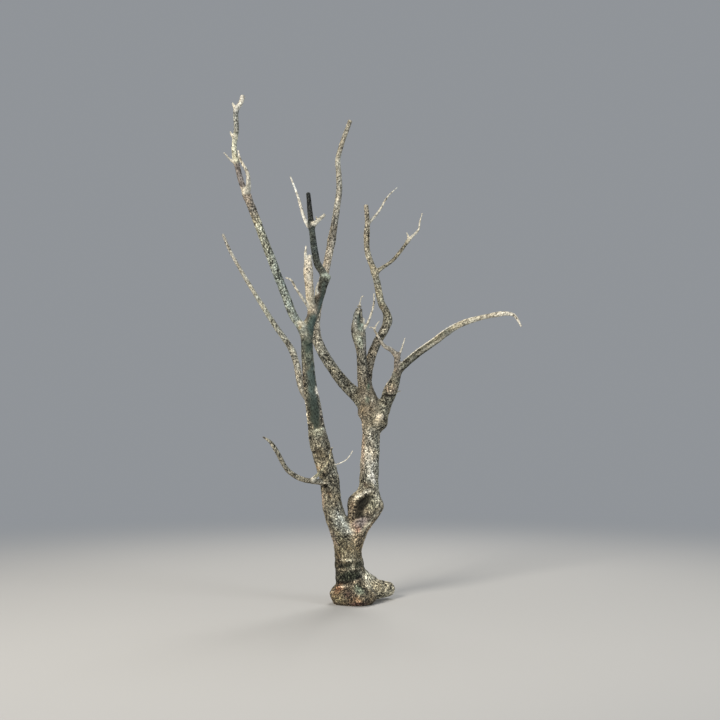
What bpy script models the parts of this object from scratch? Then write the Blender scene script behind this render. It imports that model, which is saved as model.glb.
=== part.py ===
"""A dead, leafless tree about 4.6 m tall, cut flat at ground level.

A short swollen trunk forks low down into a left and a right stem. Each stem carries a few long,
bare, crooked boughs that end in blunt breaks, with a handful of thin twigs left on them.

Metres, +Z up. The origin is on the ground, on the flat cut under the foot of the trunk. +X is the
tree's right and +Y its back.

Every limb is grown from its parent: a course is a list of stretches, each (length, lean, heading),
where lean is degrees away from upright and heading is the compass direction of that lean
(0 right, 90 back, 180 left, 270 front). A line is a run of limbs end to end on one smooth course.
"""

import math

import bmesh
import bpy
import mathutils
import numpy as np

# ---------------------------------------------------------------- driving sizes

CLEARANCE = 0.0003  # the gap that is left between two limbs that touch
COLUMN_RISE = 0.38  # ground to where the two leaders part inside the trunk
COLUMN_LEAN = (5, 180)  # lean and heading of the short trunk
COLUMN_GIRTH = 0.250  # diameter of the trunk above its foot
FOOT_RISE = 0.56  # height of the lofted foot and column
FOOT_RINGS = 14
FOOT_SIDES = 24
FOOT_DOME = 0.20  # the top of the loft closes in a dome, inside the two leaders
FOOT_PINCH = (0.175, 0.030, 0.012)  # height, half-length and depth of the crease over the foot

# Lobes of the root flare: heading, reach beyond the column, height of the bulge, half-width.
ROOT_LOBES = (
    (182, 0.060, 0.090, 38),
    (232, 0.075, 0.060, 30),
    (288, 0.135, 0.050, 34),
    (340, 0.100, 0.090, 30),
    (38, 0.160, 0.205, 30),
    (112, 0.090, 0.080, 32),
)

# The one root that stands clear of the foot, broken off short: start, course, two diameters.
ROOT_START = (0.04, 0.02, 0.125)
ROOT_COURSE = ((0.20, 96, 35), (0.16, 95, 46), (0.06, 94, 55))
ROOT_GIRTHS = (0.235, 0.125)

SIDES = {"stem": 16, "bough": 10, "slim": 8, "twig": 6}
RING_STEP = {"stem": 0.060, "bough": 0.075, "slim": 0.075, "twig": 0.050}
COLLAR = 0.35  # how much thicker a bough is where it leaves its parent

# The hollow in the burl at the foot of the right stem: an ellipsoid that leans to the right.
HOLLOW_AT = 0.530  # distance up the right leader
HOLLOW_HEADING = 275  # the side of the burl that it opens to
HOLLOW_OUT = 0.150  # from the leader's course to the ellipsoid's middle
HOLLOW_SIZE = (0.042, 0.050, 0.125)  # half-sizes across, into and along the slot
HOLLOW_TILT = 42

# ---------------------------------------------------------------- what grows where

# limb: (name, thick end, thin end, course). A line's limbs follow each other end to end.
# swellings: (distance along the line, added diameter, half-length).
LINES = {
    "left": {
        "grows_from": "column",
        "kind": "stem",
        "limbs": (
            ("trunk", 0.225, 0.178, ((0.14, 10, 190), (0.16, 20, 190), (0.16, 20, 203))),
            (
                "left_stem",
                0.178,
                0.098,
                (
                    (0.14, 17, 234),
                    (0.16, 13, 244),
                    (0.34, 19, 219),
                    (0.34, 13, 228),
                    (0.26, 11, 224),
                    (0.34, 8, 249),
                ),
            ),
            (
                "centre_bough",
                0.098,
                0.080,
                ((0.10, 6, 0), (0.10, 22, 20), (0.28, 30, 57), (0.12, 29, 69)),
            ),
            (
                "centre_leader",
                0.072,
                0.042,
                (
                    (0.07, 22, 127),
                    (0.10, 46, 126),
                    (0.12, 34, 113),
                    (0.27, 31, 104),
                    (0.10, 29, 104),
                    (0.33, 24, 104),
                ),
            ),
        ),
        "swellings": (
            (0.78, 0.012, 0.09),
            (1.05, 0.024, 0.22),
            (2.10, 0.012, 0.06),
            (2.63, 0.016, 0.04),
            (3.28, 0.018, 0.04),
        ),
    },
    "right": {
        "grows_from": "column",
        "kind": "stem",
        "limbs": (
            (
                "trunk",
                0.215,
                0.172,
                ((0.11, 9, 0), (0.12, 22, 26), (0.23, 22, 24), (0.16, 17, 33), (0.12, 17, 73)),
            ),
            (
                "right_stem",
                0.172,
                0.158,
                (
                    (0.28, 9, 72),
                    (0.19, 13, 79),
                    (0.16, 14, 90),
                    (0.13, 16, 148),
                    (0.06, 17, 180),
                ),
            ),
            (
                "torn_bough",
                0.118,
                0.050,
                ((0.06, 18, 205), (0.17, 13, 247), (0.17, 14, 257), (0.24, 15, 240), (0.15, 13, 290)),
            ),
        ),
        "swellings": ((0.47, 0.110, 0.10), (0.56, 0.090, 0.075), (1.38, 0.075, 0.08), (2.14, 0.066, 0.13)),
    },
    "left_bough_line": {
        "grows_from": ("left", 2.04),
        "kind": "bough",
        "limbs": (
            (
                "left_bough",
                0.078,
                0.068,
                ((0.14, 34, 212), (0.08, 41, 212), (0.17, 30, 226), (0.69, 28, 225), (0.29, 28, 224)),
            ),
            (
                "left_bough_top",
                0.048,
                0.040,
                (
                    (0.09, 28, 216),
                    (0.14, 17, 214),
                    (0.16, 11, 188),
                    (0.17, 10, 58),
                    (0.20, 16, 94),
                    (0.07, 34, 31),
                    (0.07, 21, 52),
                ),
            ),
        ),
        "swellings": ((1.36, 0.012, 0.05), (1.66, 0.012, 0.05), (2.12, 0.006, 0.03)),
    },
    "low_bough_line": {
        "grows_from": ("left", 1.49),
        "kind": "slim",
        "limbs": (
            (
                "low_bough",
                0.066,
                0.026,
                (
                    (0.11, 53, 153),
                    (0.30, 30, 119),
                    (0.15, 33, 124),
                    (0.28, 42, 140),
                    (0.33, 43, 135),
                    (0.45, 42, 134),
                    (0.28, 40, 133),
                    (0.19, 34, 132),
                ),
            ),
        ),
        "swellings": ((0.54, 0.010, 0.04),),
    },
    "hook_line": {
        "grows_from": ("left", 0.73),
        "kind": "slim",
        "limbs": (
            (
                "hook_bough",
                0.050,
                0.036,
                (
                    (0.18, 86, 217),
                    (0.12, 79, 219),
                    (0.09, 67, 216),
                    (0.10, 55, 220),
                    (0.20, 36, 223),
                    (0.10, 41, 221),
                    (0.08, 57, 208),
                ),
            ),
        ),
        "swellings": ((0.87, -0.022, 0.08),),
    },
    "pale_snag_line": {
        "grows_from": ("left", 2.26),
        "kind": "bough",
        "limbs": (
            (
                "pale_snag",
                0.080,
                0.070,
                ((0.09, 31, 245), (0.14, 28, 263), (0.24, 27, 267), (0.08, 27, 300)),
            ),
        ),
        "swellings": ((0.40, 0.012, 0.06), (0.55, -0.036, 0.045)),
    },
    "back_line": {
        "grows_from": ("right", 1.44),
        "kind": "bough",
        "limbs": (
            (
                "back_bough",
                0.122,
                0.094,
                ((0.23, 54, 151), (0.13, 49, 149), (0.22, 41, 147), (0.21, 37, 141), (0.12, 26, 133)),
            ),
            (
                "back_spar",
                0.094,
                0.042,
                (
                    (0.15, 16, 104),
                    (0.19, 17, 66),
                    (0.33, 16, 40),
                    (0.40, 16, 50),
                    (0.27, 15, 58),
                    (0.18, 12, 56),
                    (0.18, 10, 104),
                    (0.12, 6, 129),
                    (0.14, 14, 342),
                    (0.27, 23, 331),
                ),
            ),
        ),
        "swellings": ((1.90, 0.014, 0.06),),
    },
    "crooked_line": {
        "grows_from": ("right", 1.50),
        "kind": "bough",
        "limbs": (
            (
                "crooked_bough",
                0.098,
                0.078,
                (
                    (0.15, 20, 101),
                    (0.17, 21, 74),
                    (0.16, 27, 55),
                    (0.13, 30, 38),
                    (0.13, 34, 33),
                    (0.11, 25, 48),
                ),
            ),
            (
                "crooked_rise",
                0.074,
                0.062,
                ((0.08, 20, 130), (0.09, 30, 154), (0.23, 14, 147), (0.09, 16, 154)),
            ),
            (
                "crooked_top",
                0.058,
                0.042,
                ((0.10, 21, 165), (0.11, 17, 161), (0.14, 5, 236), (0.14, 9, 286), (0.16, 11, 247)),
            ),
        ),
        "swellings": ((0.84, 0.012, 0.05), (1.34, 0.014, 0.04), (1.70, 0.012, 0.08)),
    },
    "crooked_side_line": {
        "grows_from": ("crooked_line", 1.32),
        "kind": "slim",
        "limbs": (
            (
                "crooked_side",
                0.038,
                0.030,
                ((0.04, 53, 341), (0.17, 58, 340), (0.12, 48, 326), (0.13, 43, 325)),
            ),
        ),
        "swellings": ((0.45, 0.006, 0.02),),
    },
    "arch_line": {
        "grows_from": ("right", 1.21),
        "kind": "bough",
        "limbs": (
            (
                "right_bough",
                0.145,
                0.078,
                ((0.155, 32, 0), (0.13, 25, 350), (0.11, 25, 321), (0.10, 36, 308), (0.11, 32, 307)),
            ),
            (
                "arch_arm",
                0.070,
                0.066,
                ((0.13, 47, 328), (0.16, 56, 328), (0.15, 60, 327), (0.16, 59, 324)),
            ),
            (
                "arch_reach",
                0.066,
                0.016,
                (
                    (0.15, 65, 323),
                    (0.13, 74, 326),
                    (0.24, 80, 332),
                    (0.09, 87, 334),
                    (0.07, 103, 334),
                    (0.06, 141, 330),
                    (0.06, 152, 335),
                ),
            ),
        ),
        "swellings": ((0.10, 0.075, 0.07), (0.42, 0.028, 0.09), (1.76, 0.014, 0.10)),
    },
    "arch_snag_line": {
        "grows_from": ("arch_line", 0.60),
        "kind": "slim",
        "limbs": (("arch_snag", 0.062, 0.050, ((0.10, 22, 258), (0.07, 18, 279))),),
        "swellings": (),
    },
}

# A sprig is a twig that is left on a bough, with its own side twigs fused to it.
# twigs: (where it starts, thick end, thin end, course). The first grows from the bough.
SPRIGS = {
    "twig_left_strand": {
        "grows_from": ("left_bough_line", 1.38),
        "twigs": (
            (
                0,
                0.052,
                0.012,
                ((0.06, 70, 294), (0.10, 55, 278), (0.06, 33, 262), (0.14, 29, 206), (0.07, 15, 150)),
            ),
        ),
    },
    "twig_left_spur": {
        "grows_from": ("left_bough_line", 1.64),
        "twigs": ((0, 0.026, 0.008, ((0.05, 70, 205), (0.09, 52, 216))),),
    },
    "twig_left_bud": {
        "grows_from": ("left_bough_line", 1.86),
        "twigs": ((0, 0.030, 0.010, ((0.035, 58, 205), (0.032, 31, 217))),),
    },
    "twig_left_nub": {
        "grows_from": ("left_bough_line", 2.12),
        "twigs": ((0, 0.028, 0.014, ((0.038, 34, 208), (0.029, 37, 215))),),
    },
    "twig_snag_whip": {
        "grows_from": ("pale_snag_line", 0.02),
        "twigs": ((0, 0.036, 0.014, ((0.17, 52, 234), (0.12, 45, 226), (0.09, 40, 224), (0.05, 69, 205))),),
    },
    "twig_centre_spur": {
        "grows_from": ("left", 2.42),
        "twigs": ((0, 0.040, 0.009, ((0.08, 16, 215), (0.07, 13, 340))),),
    },
    "twig_centre_stub": {
        "grows_from": ("left", 3.27),
        "twigs": (
            (0, 0.040, 0.030, ((0.06, 63, 326), (0.115, 57, 329))),
            (0.075, 0.020, 0.008, ((0.05, 38, 250),)),
        ),
    },
    "twig_centre_whip": {
        "grows_from": ("left", 3.25),
        "twigs": (
            (
                0,
                0.038,
                0.014,
                ((0.06, 58, 138), (0.11, 39, 125), (0.23, 30, 120), (0.15, 30, 128), (0.10, 32, 129)),
            ),
        ),
    },
    "twig_hook_cross": {
        "grows_from": ("hook_line", 0.20),
        "twigs": (
            (
                0,
                0.036,
                0.010,
                ((0.10, 49, 330), (0.09, 43, 346), (0.08, 29, 345), (0.05, 12, 328), (0.05, 19, 342)),
            ),
        ),
    },
    "twig_stem_whip": {
        "grows_from": ("left", 0.87),
        "twigs": ((0, 0.014, 0.007, ((0.15, 74, 335), (0.06, 62, 336), (0.05, 43, 334), (0.05, 34, 332))),),
    },
    "twig_torn_hook": {
        "grows_from": ("right", 2.35),
        "twigs": ((0, 0.016, 0.009, ((0.08, 13, 320), (0.03, 24, 331), (0.02, 80, 331))),),
    },
    "twig_torn_side": {
        "grows_from": ("right", 2.12),
        "twigs": ((0, 0.030, 0.012, ((0.11, 50, 327), (0.12, 36, 306), (0.11, 31, 296), (0.09, 26, 271))),),
    },
    "spire_torn": {
        "grows_from": ("right", 2.14),
        "twigs": ((0, 0.060, 0.012, ((0.08, 36, 333), (0.05, 13, 333))),),
    },
    "spire_pale": {
        "grows_from": ("pale_snag_line", 0.46),
        "twigs": ((0, 0.040, 0.014, ((0.08, 27, 232), (0.09, 8, 290))),),
    },
    "twig_crooked_fork": {
        "grows_from": ("crooked_line", 1.81),
        "twigs": ((0, 0.030, 0.009, ((0.08, 50, 35), (0.12, 43, 37), (0.18, 36, 41), (0.16, 48, 35))),),
    },
    "twig_side_end": {
        "grows_from": ("crooked_side_line", 0.46),
        "twigs": (
            (0, 0.030, 0.008, ((0.05, 50, 327), (0.10, 47, 334), (0.065, 19, 293), (0.09, 20, 320))),
            (0.01, 0.026, 0.008, ((0.035, 13, 221), (0.04, 28, 217))),
        ),
    },
    "twig_arch_fork": {
        "grows_from": ("arch_snag_line", 0.15),
        "twigs": (
            (
                0,
                0.054,
                0.009,
                ((0.09, 50, 216), (0.08, 66, 214), (0.17, 42, 222), (0.04, 44, 232), (0.04, 80, 209)),
            ),
            (0.345, 0.018, 0.008, ((0.045, 36, 278), (0.06, 35, 343))),
        ),
    },
    "twig_arch_shoot": {
        "grows_from": ("arch_snag_line", 0.14),
        "twigs": ((0, 0.024, 0.008, ((0.07, 29, 10), (0.08, 21, 31), (0.05, 24, 47))),),
    },
    "twig_arch_spur": {
        "grows_from": ("arch_line", 0.37),
        "twigs": ((0, 0.020, 0.008, ((0.11, 76, 0),)),),
    },
}

# Limbs and sprigs that run close to a neighbour give way to it as well as to their parent.
GIVES_WAY_TO = {
    "crooked_line": ("back_line",),
    "arch_line": ("crooked_line", "back_line"),
    "twig_snag_whip": ("left",),
    "spire_torn": ("twig_torn_side",),
    "twig_centre_stub": ("twig_centre_whip",),
    "twig_arch_shoot": ("twig_arch_fork", "arch_line"),
    "twig_arch_fork": ("arch_line",),
    "twig_side_end": ("crooked_line",),
}

BARK = ("weathered_bark", (0.36, 0.33, 0.27), 0.9)
BARE_WOOD = ("bare_grey_wood", (0.56, 0.52, 0.44), 0.8)
TWIG_WOOD = ("twig_bark", (0.46, 0.44, 0.38), 0.85)
DARK_BARK = ("dark_bark", (0.20, 0.21, 0.18), 0.85)
FINISH_OF = {"pale_snag": BARE_WOOD, "centre_leader": DARK_BARK}

# ---------------------------------------------------------------- courses and thickness


def direction(lean, heading):
    """Unit vector that leans away from upright towards a compass heading, both in degrees."""
    lean, heading = math.radians(lean), math.radians(heading)
    return np.array(
        [math.sin(lean) * math.cos(heading), math.sin(lean) * math.sin(heading), math.cos(lean)]
    )


class Course:
    """A smooth line through the ends of its stretches, measured by the distance along them."""

    def __init__(self, start, stretches):
        steps = [length * direction(lean, heading) for length, lean, heading in stretches]
        self.corners = np.vstack([start, np.cumsum(steps, axis=0) + start])
        self.distances = np.concatenate([[0.0], np.cumsum([stretch[0] for stretch in stretches])])
        self.length = self.distances[-1]
        slopes = np.diff(self.corners, axis=0) / np.diff(self.distances)[:, None]
        self.tangents = np.vstack([slopes[:1], slopes, slopes[-1:]])
        self.tangents = (self.tangents[:-1] + self.tangents[1:]) / 2

    def at(self, distances):
        """Points at these distances, by a cubic between each two corners."""
        distances = np.atleast_1d(distances)
        piece = np.clip(np.searchsorted(self.distances, distances) - 1, 0, len(self.distances) - 2)
        span = (self.distances[piece + 1] - self.distances[piece])[:, None]
        t = (distances - self.distances[piece])[:, None] / span
        return (
            (2 * t**3 - 3 * t**2 + 1) * self.corners[piece]
            + (t**3 - 2 * t**2 + t) * span * self.tangents[piece]
            + (3 * t**2 - 2 * t**3) * self.corners[piece + 1]
            + (t**3 - t**2) * span * self.tangents[piece + 1]
        )

    def heading_at(self, distance, reach=0.01):
        """Unit vector along the course at a distance."""
        ends = self.at([max(distance - reach, 0), min(distance + reach, self.length)])
        return (ends[1] - ends[0]) / np.linalg.norm(ends[1] - ends[0])


def lengthened(points, more):
    """The same points with both ends moved outwards, so that a cutter also clears the ends."""
    longer = points.copy()
    first, last = points[0] - points[1], points[-1] - points[-2]
    longer[0] += first / np.linalg.norm(first) * more
    longer[-1] += last / np.linalg.norm(last) * more
    return longer


def steps_along(length, step):
    """Evenly spaced distances from 0 to length, about step apart."""
    return np.linspace(0, length, max(2, round(length / step)) + 1)


def girth_of_line(line, distances):
    """Diameters along a line: each limb tapers evenly, swellings are bell-shaped."""
    marks, girths, along = [], [], 0.0
    for _, thick, thin, course in line["limbs"]:
        marks += [along, along + sum(stretch[0] for stretch in course)]
        girths += [thick, thin]
        along = marks[-1]
    girth = np.interp(distances, np.array(marks) + np.arange(len(marks)) * 1e-6, girths)
    for at, more, half in line["swellings"]:
        girth = girth + more * np.exp(-(((distances - at) / half) ** 2))
    return girth


def with_collar(girths, distances, parent_girth):
    """A limb is thicker where it leaves its parent's surface, and more so inside it."""
    beyond = np.maximum(distances - parent_girth / 2, 0)
    flared = girths * (1 + COLLAR * np.exp(-beyond / (0.6 * girths[0])))
    return np.minimum(flared, np.maximum(girths, 0.85 * parent_girth))


# ---------------------------------------------------------------- Blender helpers


def clear_scene():
    for obj in list(bpy.data.objects):
        bpy.data.objects.remove(obj)


def new_collection(name):
    collection = bpy.data.collections.new(name)
    bpy.context.scene.collection.children.link(collection)
    return collection


def material(name, colour, roughness):
    made = bpy.data.materials.get(name)
    if made is None:
        made = bpy.data.materials.new(name)
        made.use_nodes = True
        shader = made.node_tree.nodes["Principled BSDF"]
        shader.inputs["Base Color"].default_value = (*colour, 1)
        shader.inputs["Roughness"].default_value = roughness
    return made


def mesh_object(name, mesh, collection):
    obj = bpy.data.objects.new(name, mesh)
    collection.objects.link(obj)
    return obj


def tube(name, points, girths, sides, collection):
    """A closed tube along the points, as a mesh: a curve with a round bevel, its caps welded on.

    Its faces are split into triangles in one fixed way, so a tube and its grown copy stay parallel.
    """
    curve = bpy.data.curves.new(name, "CURVE")
    curve.dimensions = "3D"
    curve.bevel_depth = 1.0
    curve.bevel_resolution = (sides - 4) // 2
    curve.use_fill_caps = True
    spline = curve.splines.new("POLY")
    spline.points.add(len(points) - 1)
    spline.points.foreach_set("co", np.column_stack([points, np.ones(len(points))]).ravel())
    spline.points.foreach_set("radius", np.asarray(girths) / 2)
    guide = mesh_object(name + "_guide", curve, collection)
    bpy.context.view_layer.update()
    mesh = bpy.data.meshes.new_from_object(guide.evaluated_get(bpy.context.evaluated_depsgraph_get()))
    bpy.data.objects.remove(guide)
    work = bmesh.new()
    work.from_mesh(mesh)
    bmesh.ops.remove_doubles(work, verts=work.verts, dist=1e-6)
    bmesh.ops.recalc_face_normals(work, faces=work.faces)
    bmesh.ops.triangulate(work, faces=work.faces, quad_method="FIXED")
    work.to_mesh(mesh)
    work.free()
    return mesh_object(name, mesh, collection)


def cut_by_plane(obj, point, normal):
    """Takes away what lies on the side that the normal points to, and closes the cut."""
    work = bmesh.new()
    work.from_mesh(obj.data)
    cut = bmesh.ops.bisect_plane(
        work,
        geom=[*work.verts, *work.edges, *work.faces],
        plane_co=point,
        plane_no=normal,
        clear_outer=True,
    )
    edges = [item for item in cut["geom_cut"] if isinstance(item, bmesh.types.BMEdge)]
    bmesh.ops.holes_fill(work, edges=edges)
    bmesh.ops.recalc_face_normals(work, faces=work.faces)
    work.to_mesh(obj.data)
    work.free()


def apply_modifiers(obj):
    graph = bpy.context.evaluated_depsgraph_get()
    mesh = bpy.data.meshes.new_from_object(obj.evaluated_get(graph))
    obj.modifiers.clear()
    obj.data = mesh


def keep_main_body(obj):
    """Removes slivers that a cut has left beside the limb."""
    work = bmesh.new()
    work.from_mesh(obj.data)
    waiting = set(work.verts)
    bodies = []
    while waiting:
        front = [waiting.pop()]
        body = set(front)
        while front:
            near = {edge.other_vert(vert) for vert in front for edge in vert.link_edges}
            front = list(near & waiting)
            waiting -= near
            body |= near
        bodies.append(body)
    bodies.sort(key=len)
    for body in bodies[:-1]:
        bmesh.ops.delete(work, geom=list(body), context="VERTS")
    work.to_mesh(obj.data)
    work.free()


def fuse(obj, others):
    """Joins the other objects to this one in one Boolean union, and removes them."""
    if not others:
        return
    gathered = new_collection(obj.name + "_pieces")
    for other in others:
        for home in list(other.users_collection):
            home.objects.unlink(other)
        gathered.objects.link(other)
    union = obj.modifiers.new("union", "BOOLEAN")
    union.operation = "UNION"
    union.operand_type = "COLLECTION"
    union.collection = gathered
    union.solver = "EXACT"
    bpy.context.view_layer.update()
    apply_modifiers(obj)
    for other in list(gathered.objects):
        bpy.data.objects.remove(other)
    bpy.data.collections.remove(gathered)


def give_way(obj, cutters):
    """Cuts the object back from each cutter, which is its neighbour grown by the clearance."""
    for cutter in cutters:
        cut = obj.modifiers.new("clear_of_" + cutter.name, "BOOLEAN")
        cut.operation = "DIFFERENCE"
        cut.object = cutter
        cut.solver = "EXACT"
    bpy.context.view_layer.update()
    apply_modifiers(obj)
    keep_main_body(obj)


def as_helper(obj):
    obj.hide_render = True
    obj.display_type = "WIRE"
    return obj


# ---------------------------------------------------------------- the trunk


def foot_radius(height, heading):
    """Radius of the foot and column: a round column, a crease, and lobes that bulge near the ground."""
    radius = COLUMN_GIRTH / 2
    pinch_at, pinch_half, pinch_depth = FOOT_PINCH
    radius -= pinch_depth * math.exp(-(((height - pinch_at) / pinch_half) ** 2))
    for lobe_heading, reach, bulge, half_width in ROOT_LOBES:
        turn = (heading - lobe_heading + 180) % 360 - 180
        above = max(height - bulge, 0) / 0.075
        below = max(bulge - height, 0) / (2.2 * bulge)
        radius += reach * math.exp(-((turn / half_width) ** 2) - above**1.4 - below**2)
    into_dome = max(height - FOOT_RISE + FOOT_DOME, 0) / FOOT_DOME
    return radius * math.sqrt(1 - 0.9 * into_dome**2)


def make_foot(collection):
    """A loft of lobed rings from the ground up the column."""
    axis = COLUMN_RISE * direction(*COLUMN_LEAN) / (COLUMN_RISE * direction(*COLUMN_LEAN)[2])
    work = bmesh.new()
    rings = []
    for share in np.linspace(0, 1, FOOT_RINGS + 1) ** 1.25:
        height = FOOT_RISE * share
        ring = []
        for heading in np.arange(FOOT_SIDES) * 360 / FOOT_SIDES:
            radius = foot_radius(height, heading)
            turn = math.radians(heading)
            x = axis[0] * height + radius * math.cos(turn)
            y = axis[1] * height + radius * math.sin(turn)
            ring.append(work.verts.new((x, y, height)))
        rings.append(ring)
    for lower, upper in zip(rings, rings[1:]):
        for i in range(FOOT_SIDES):
            j = (i + 1) % FOOT_SIDES
            work.faces.new((lower[i], lower[j], upper[j], upper[i]))
    work.faces.new(rings[0][::-1])
    work.faces.new(rings[-1])
    mesh = bpy.data.meshes.new("foot")
    work.to_mesh(mesh)
    work.free()
    return mesh_object("trunk", mesh, collection)


def make_root(collection):
    """The broken root that stands out of the foot along the ground."""
    course = Course(np.array(ROOT_START), ROOT_COURSE)
    distances = steps_along(course.length, RING_STEP["stem"])
    girths = np.interp(distances, [0, course.length], ROOT_GIRTHS)
    points = course.at(distances)
    return tube("root", points, girths, 12, collection)


def make_hollow(leader, collection):
    """The slanting ellipsoid that hollows out the burl."""
    turn = math.radians(HOLLOW_HEADING)
    out = mathutils.Vector((math.cos(turn), math.sin(turn), 0))
    tilt = mathutils.Matrix.Rotation(math.radians(HOLLOW_TILT), 4, -out)
    upright = mathutils.Matrix.Rotation(turn + math.pi / 2, 4, "Z")
    middle = mathutils.Vector(leader.at(HOLLOW_AT)[0]) + out * HOLLOW_OUT
    size = mathutils.Matrix.Diagonal((*HOLLOW_SIZE, 1))
    place = mathutils.Matrix.Translation(middle) @ tilt @ upright @ size
    mesh = bpy.data.meshes.new("burl_hollow")
    work = bmesh.new()
    bmesh.ops.create_uvsphere(work, u_segments=16, v_segments=10, radius=1, matrix=place)
    work.to_mesh(mesh)
    work.free()
    return as_helper(mesh_object("burl_hollow", mesh, collection))


# ---------------------------------------------------------------- the limbs


def make_line(name, line, courses, girths, parts, cutters):
    """One tube for the whole line, its grown copy as a cutter, and one node for each limb of it."""
    course = courses[name]
    kind = line["kind"]
    distances = steps_along(course.length, RING_STEP[kind])
    points = course.at(distances)
    around = girths[name](distances)
    sides = SIDES[kind]
    grown = around + 2 * CLEARANCE / math.cos(math.pi / sides)
    longer = lengthened(points, CLEARANCE)
    cutter = as_helper(tube(name + "_cutter", longer, grown, sides, cutters))
    nodes, start = [], 0.0
    for limb, _, _, stretches in line["limbs"]:
        end = start + sum(stretch[0] for stretch in stretches)
        node = tube(limb, points, around, sides, parts)
        if start > 0:
            along = course.heading_at(start)
            cut_by_plane(node, course.at(start)[0] + along * CLEARANCE / 2, -along)
        if end < course.length - 1e-6:
            along = course.heading_at(end)
            cut_by_plane(node, course.at(end)[0] - along * CLEARANCE / 2, along)
        nodes.append(node)
        start = end
    return nodes, cutter


def make_sprig(name, sprig, courses, girths, parts, cutters):
    """A twig and its side twigs, fused, and a grown copy of them as cutters."""
    tubes, grown_tubes = [], []
    for i, (_, thick, thin, _) in enumerate(sprig["twigs"]):
        course = courses[name, i]
        distances = steps_along(course.length, RING_STEP["twig"])
        around = girths[name, i](distances)
        grown = around + 2 * CLEARANCE / math.cos(math.pi / SIDES["twig"])
        points = course.at(distances)
        tubes.append(tube(name if i == 0 else f"{name}_{i}", points, around, SIDES["twig"], parts))
        longer = lengthened(points, CLEARANCE)
        grown_tubes.append(tube(f"{name}_cutter_{i}", longer, grown, SIDES["twig"], cutters))
    fuse(tubes[0], tubes[1:])
    fuse(grown_tubes[0], grown_tubes[1:])
    return tubes[0], as_helper(grown_tubes[0])


def plan_courses():
    """The course and the thickness of each line and twig, each started on its parent's course."""
    courses, girths = {}, {}
    column_top = COLUMN_RISE * direction(*COLUMN_LEAN) / direction(*COLUMN_LEAN)[2]
    for name, line in LINES.items():
        stretches = [stretch for limb in line["limbs"] for stretch in limb[3]]
        if line["grows_from"] == "column":
            courses[name] = Course(column_top, stretches)
            girths[name] = lambda d, line=line: girth_of_line(line, d)
            continue
        parent, at = line["grows_from"]
        courses[name] = Course(courses[parent].at(at)[0], stretches)
        parent_girth = girths[parent](np.array([at]))[0]
        girths[name] = lambda d, line=line, wide=parent_girth: with_collar(
            girth_of_line(line, d), d, wide
        )
    for name, sprig in SPRIGS.items():
        parent, at = sprig["grows_from"]
        base = courses[parent].at(at)[0]
        parent_girth = girths[parent](np.array([at]))[0]
        for i, (starts, thick, thin, stretches) in enumerate(sprig["twigs"]):
            origin = base if i == 0 else courses[name, 0].at(starts)[0]
            course = courses[name, i] = Course(origin, stretches)
            wide = parent_girth if i == 0 else thick
            girths[name, i] = lambda d, ends=(thick, thin), length=course.length, wide=wide: with_collar(
                np.interp(d, [0, length], ends), d, wide
            )
    return courses, girths


def main():
    clear_scene()
    parts = new_collection("dead_tree")
    cutters = new_collection("cutters")
    courses, girths = plan_courses()

    grown, nodes_of = {}, {}
    for name, line in LINES.items():
        nodes_of[name], grown[name] = make_line(name, line, courses, girths, parts, cutters)
    for name, sprig in SPRIGS.items():
        node, grown[name] = make_sprig(name, sprig, courses, girths, parts, cutters)
        nodes_of[name] = [node]

    for name, nodes in nodes_of.items():
        source = LINES.get(name) or SPRIGS[name]
        neighbours = GIVES_WAY_TO.get(name, ())
        if source["grows_from"] != "column":
            neighbours = (source["grows_from"][0], *neighbours)
        for node in nodes:
            give_way(node, [grown[neighbour] for neighbour in neighbours])

    left_start, right_start = nodes_of["left"][0], nodes_of["right"][0]
    trunk = make_foot(parts)
    fuse(trunk, [left_start, right_start, make_root(parts)])
    cut_by_plane(trunk, (0, 0, 0), (0, 0, -1))
    give_way(trunk, [make_hollow(courses["right"], cutters)])
    trunk.name = "trunk"

    for obj in parts.objects:
        kind = TWIG_WOOD if obj.name.startswith("twig") else BARK
        obj.data.materials.clear()
        obj.data.materials.append(material(*FINISH_OF.get(obj.name, kind)))
        obj.data.shade_smooth()


main()
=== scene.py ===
"""The looks of a bare, dead tree: weathered bark, peeled and torn wood, and its last few twigs.

Every limb is skinned again on the course of its solid, as a closed grid of rings along it and
headings around it. Lengths are metres, but millimetres in the rows of mark. Headings are 0 right,
90 back, 180 left and 270 front.
"""

import bpy
import numpy as np
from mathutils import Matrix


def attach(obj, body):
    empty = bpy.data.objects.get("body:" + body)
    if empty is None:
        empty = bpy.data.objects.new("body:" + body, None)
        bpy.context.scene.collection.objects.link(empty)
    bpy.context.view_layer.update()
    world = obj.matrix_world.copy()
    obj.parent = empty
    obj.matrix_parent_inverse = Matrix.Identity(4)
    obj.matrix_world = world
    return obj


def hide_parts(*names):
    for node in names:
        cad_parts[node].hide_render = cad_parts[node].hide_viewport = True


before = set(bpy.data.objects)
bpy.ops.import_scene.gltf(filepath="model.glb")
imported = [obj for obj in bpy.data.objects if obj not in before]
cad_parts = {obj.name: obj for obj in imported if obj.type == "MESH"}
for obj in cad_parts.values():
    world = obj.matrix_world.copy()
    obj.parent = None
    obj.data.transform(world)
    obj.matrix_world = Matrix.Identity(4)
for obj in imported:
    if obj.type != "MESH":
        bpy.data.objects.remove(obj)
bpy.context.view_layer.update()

# ======================================== the trunk
# The foot and the column of a tree that died standing: six root lobes, a crease over them, and
# the left leader that the column runs on into. Its bark is dry, lumpy, cracked and pitted.

COLUMN = 0.38 / np.cos(np.radians(5))  # the length of the column, ground to the parting
COLLAR = 0.35  # how much thicker a limb is where it leaves its parent
OVERLAP = 0.014  # how far two pieces of one limb run on under each other
SUNK = 0.003  # how deep the hidden ends of those pieces lie
GRAIN_MM = 9  # the width of the fine grain in every material
FILLET_REACH = 0.55  # how far along a limb its skin may be laid over its parent
LIMBS = {}
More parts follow.
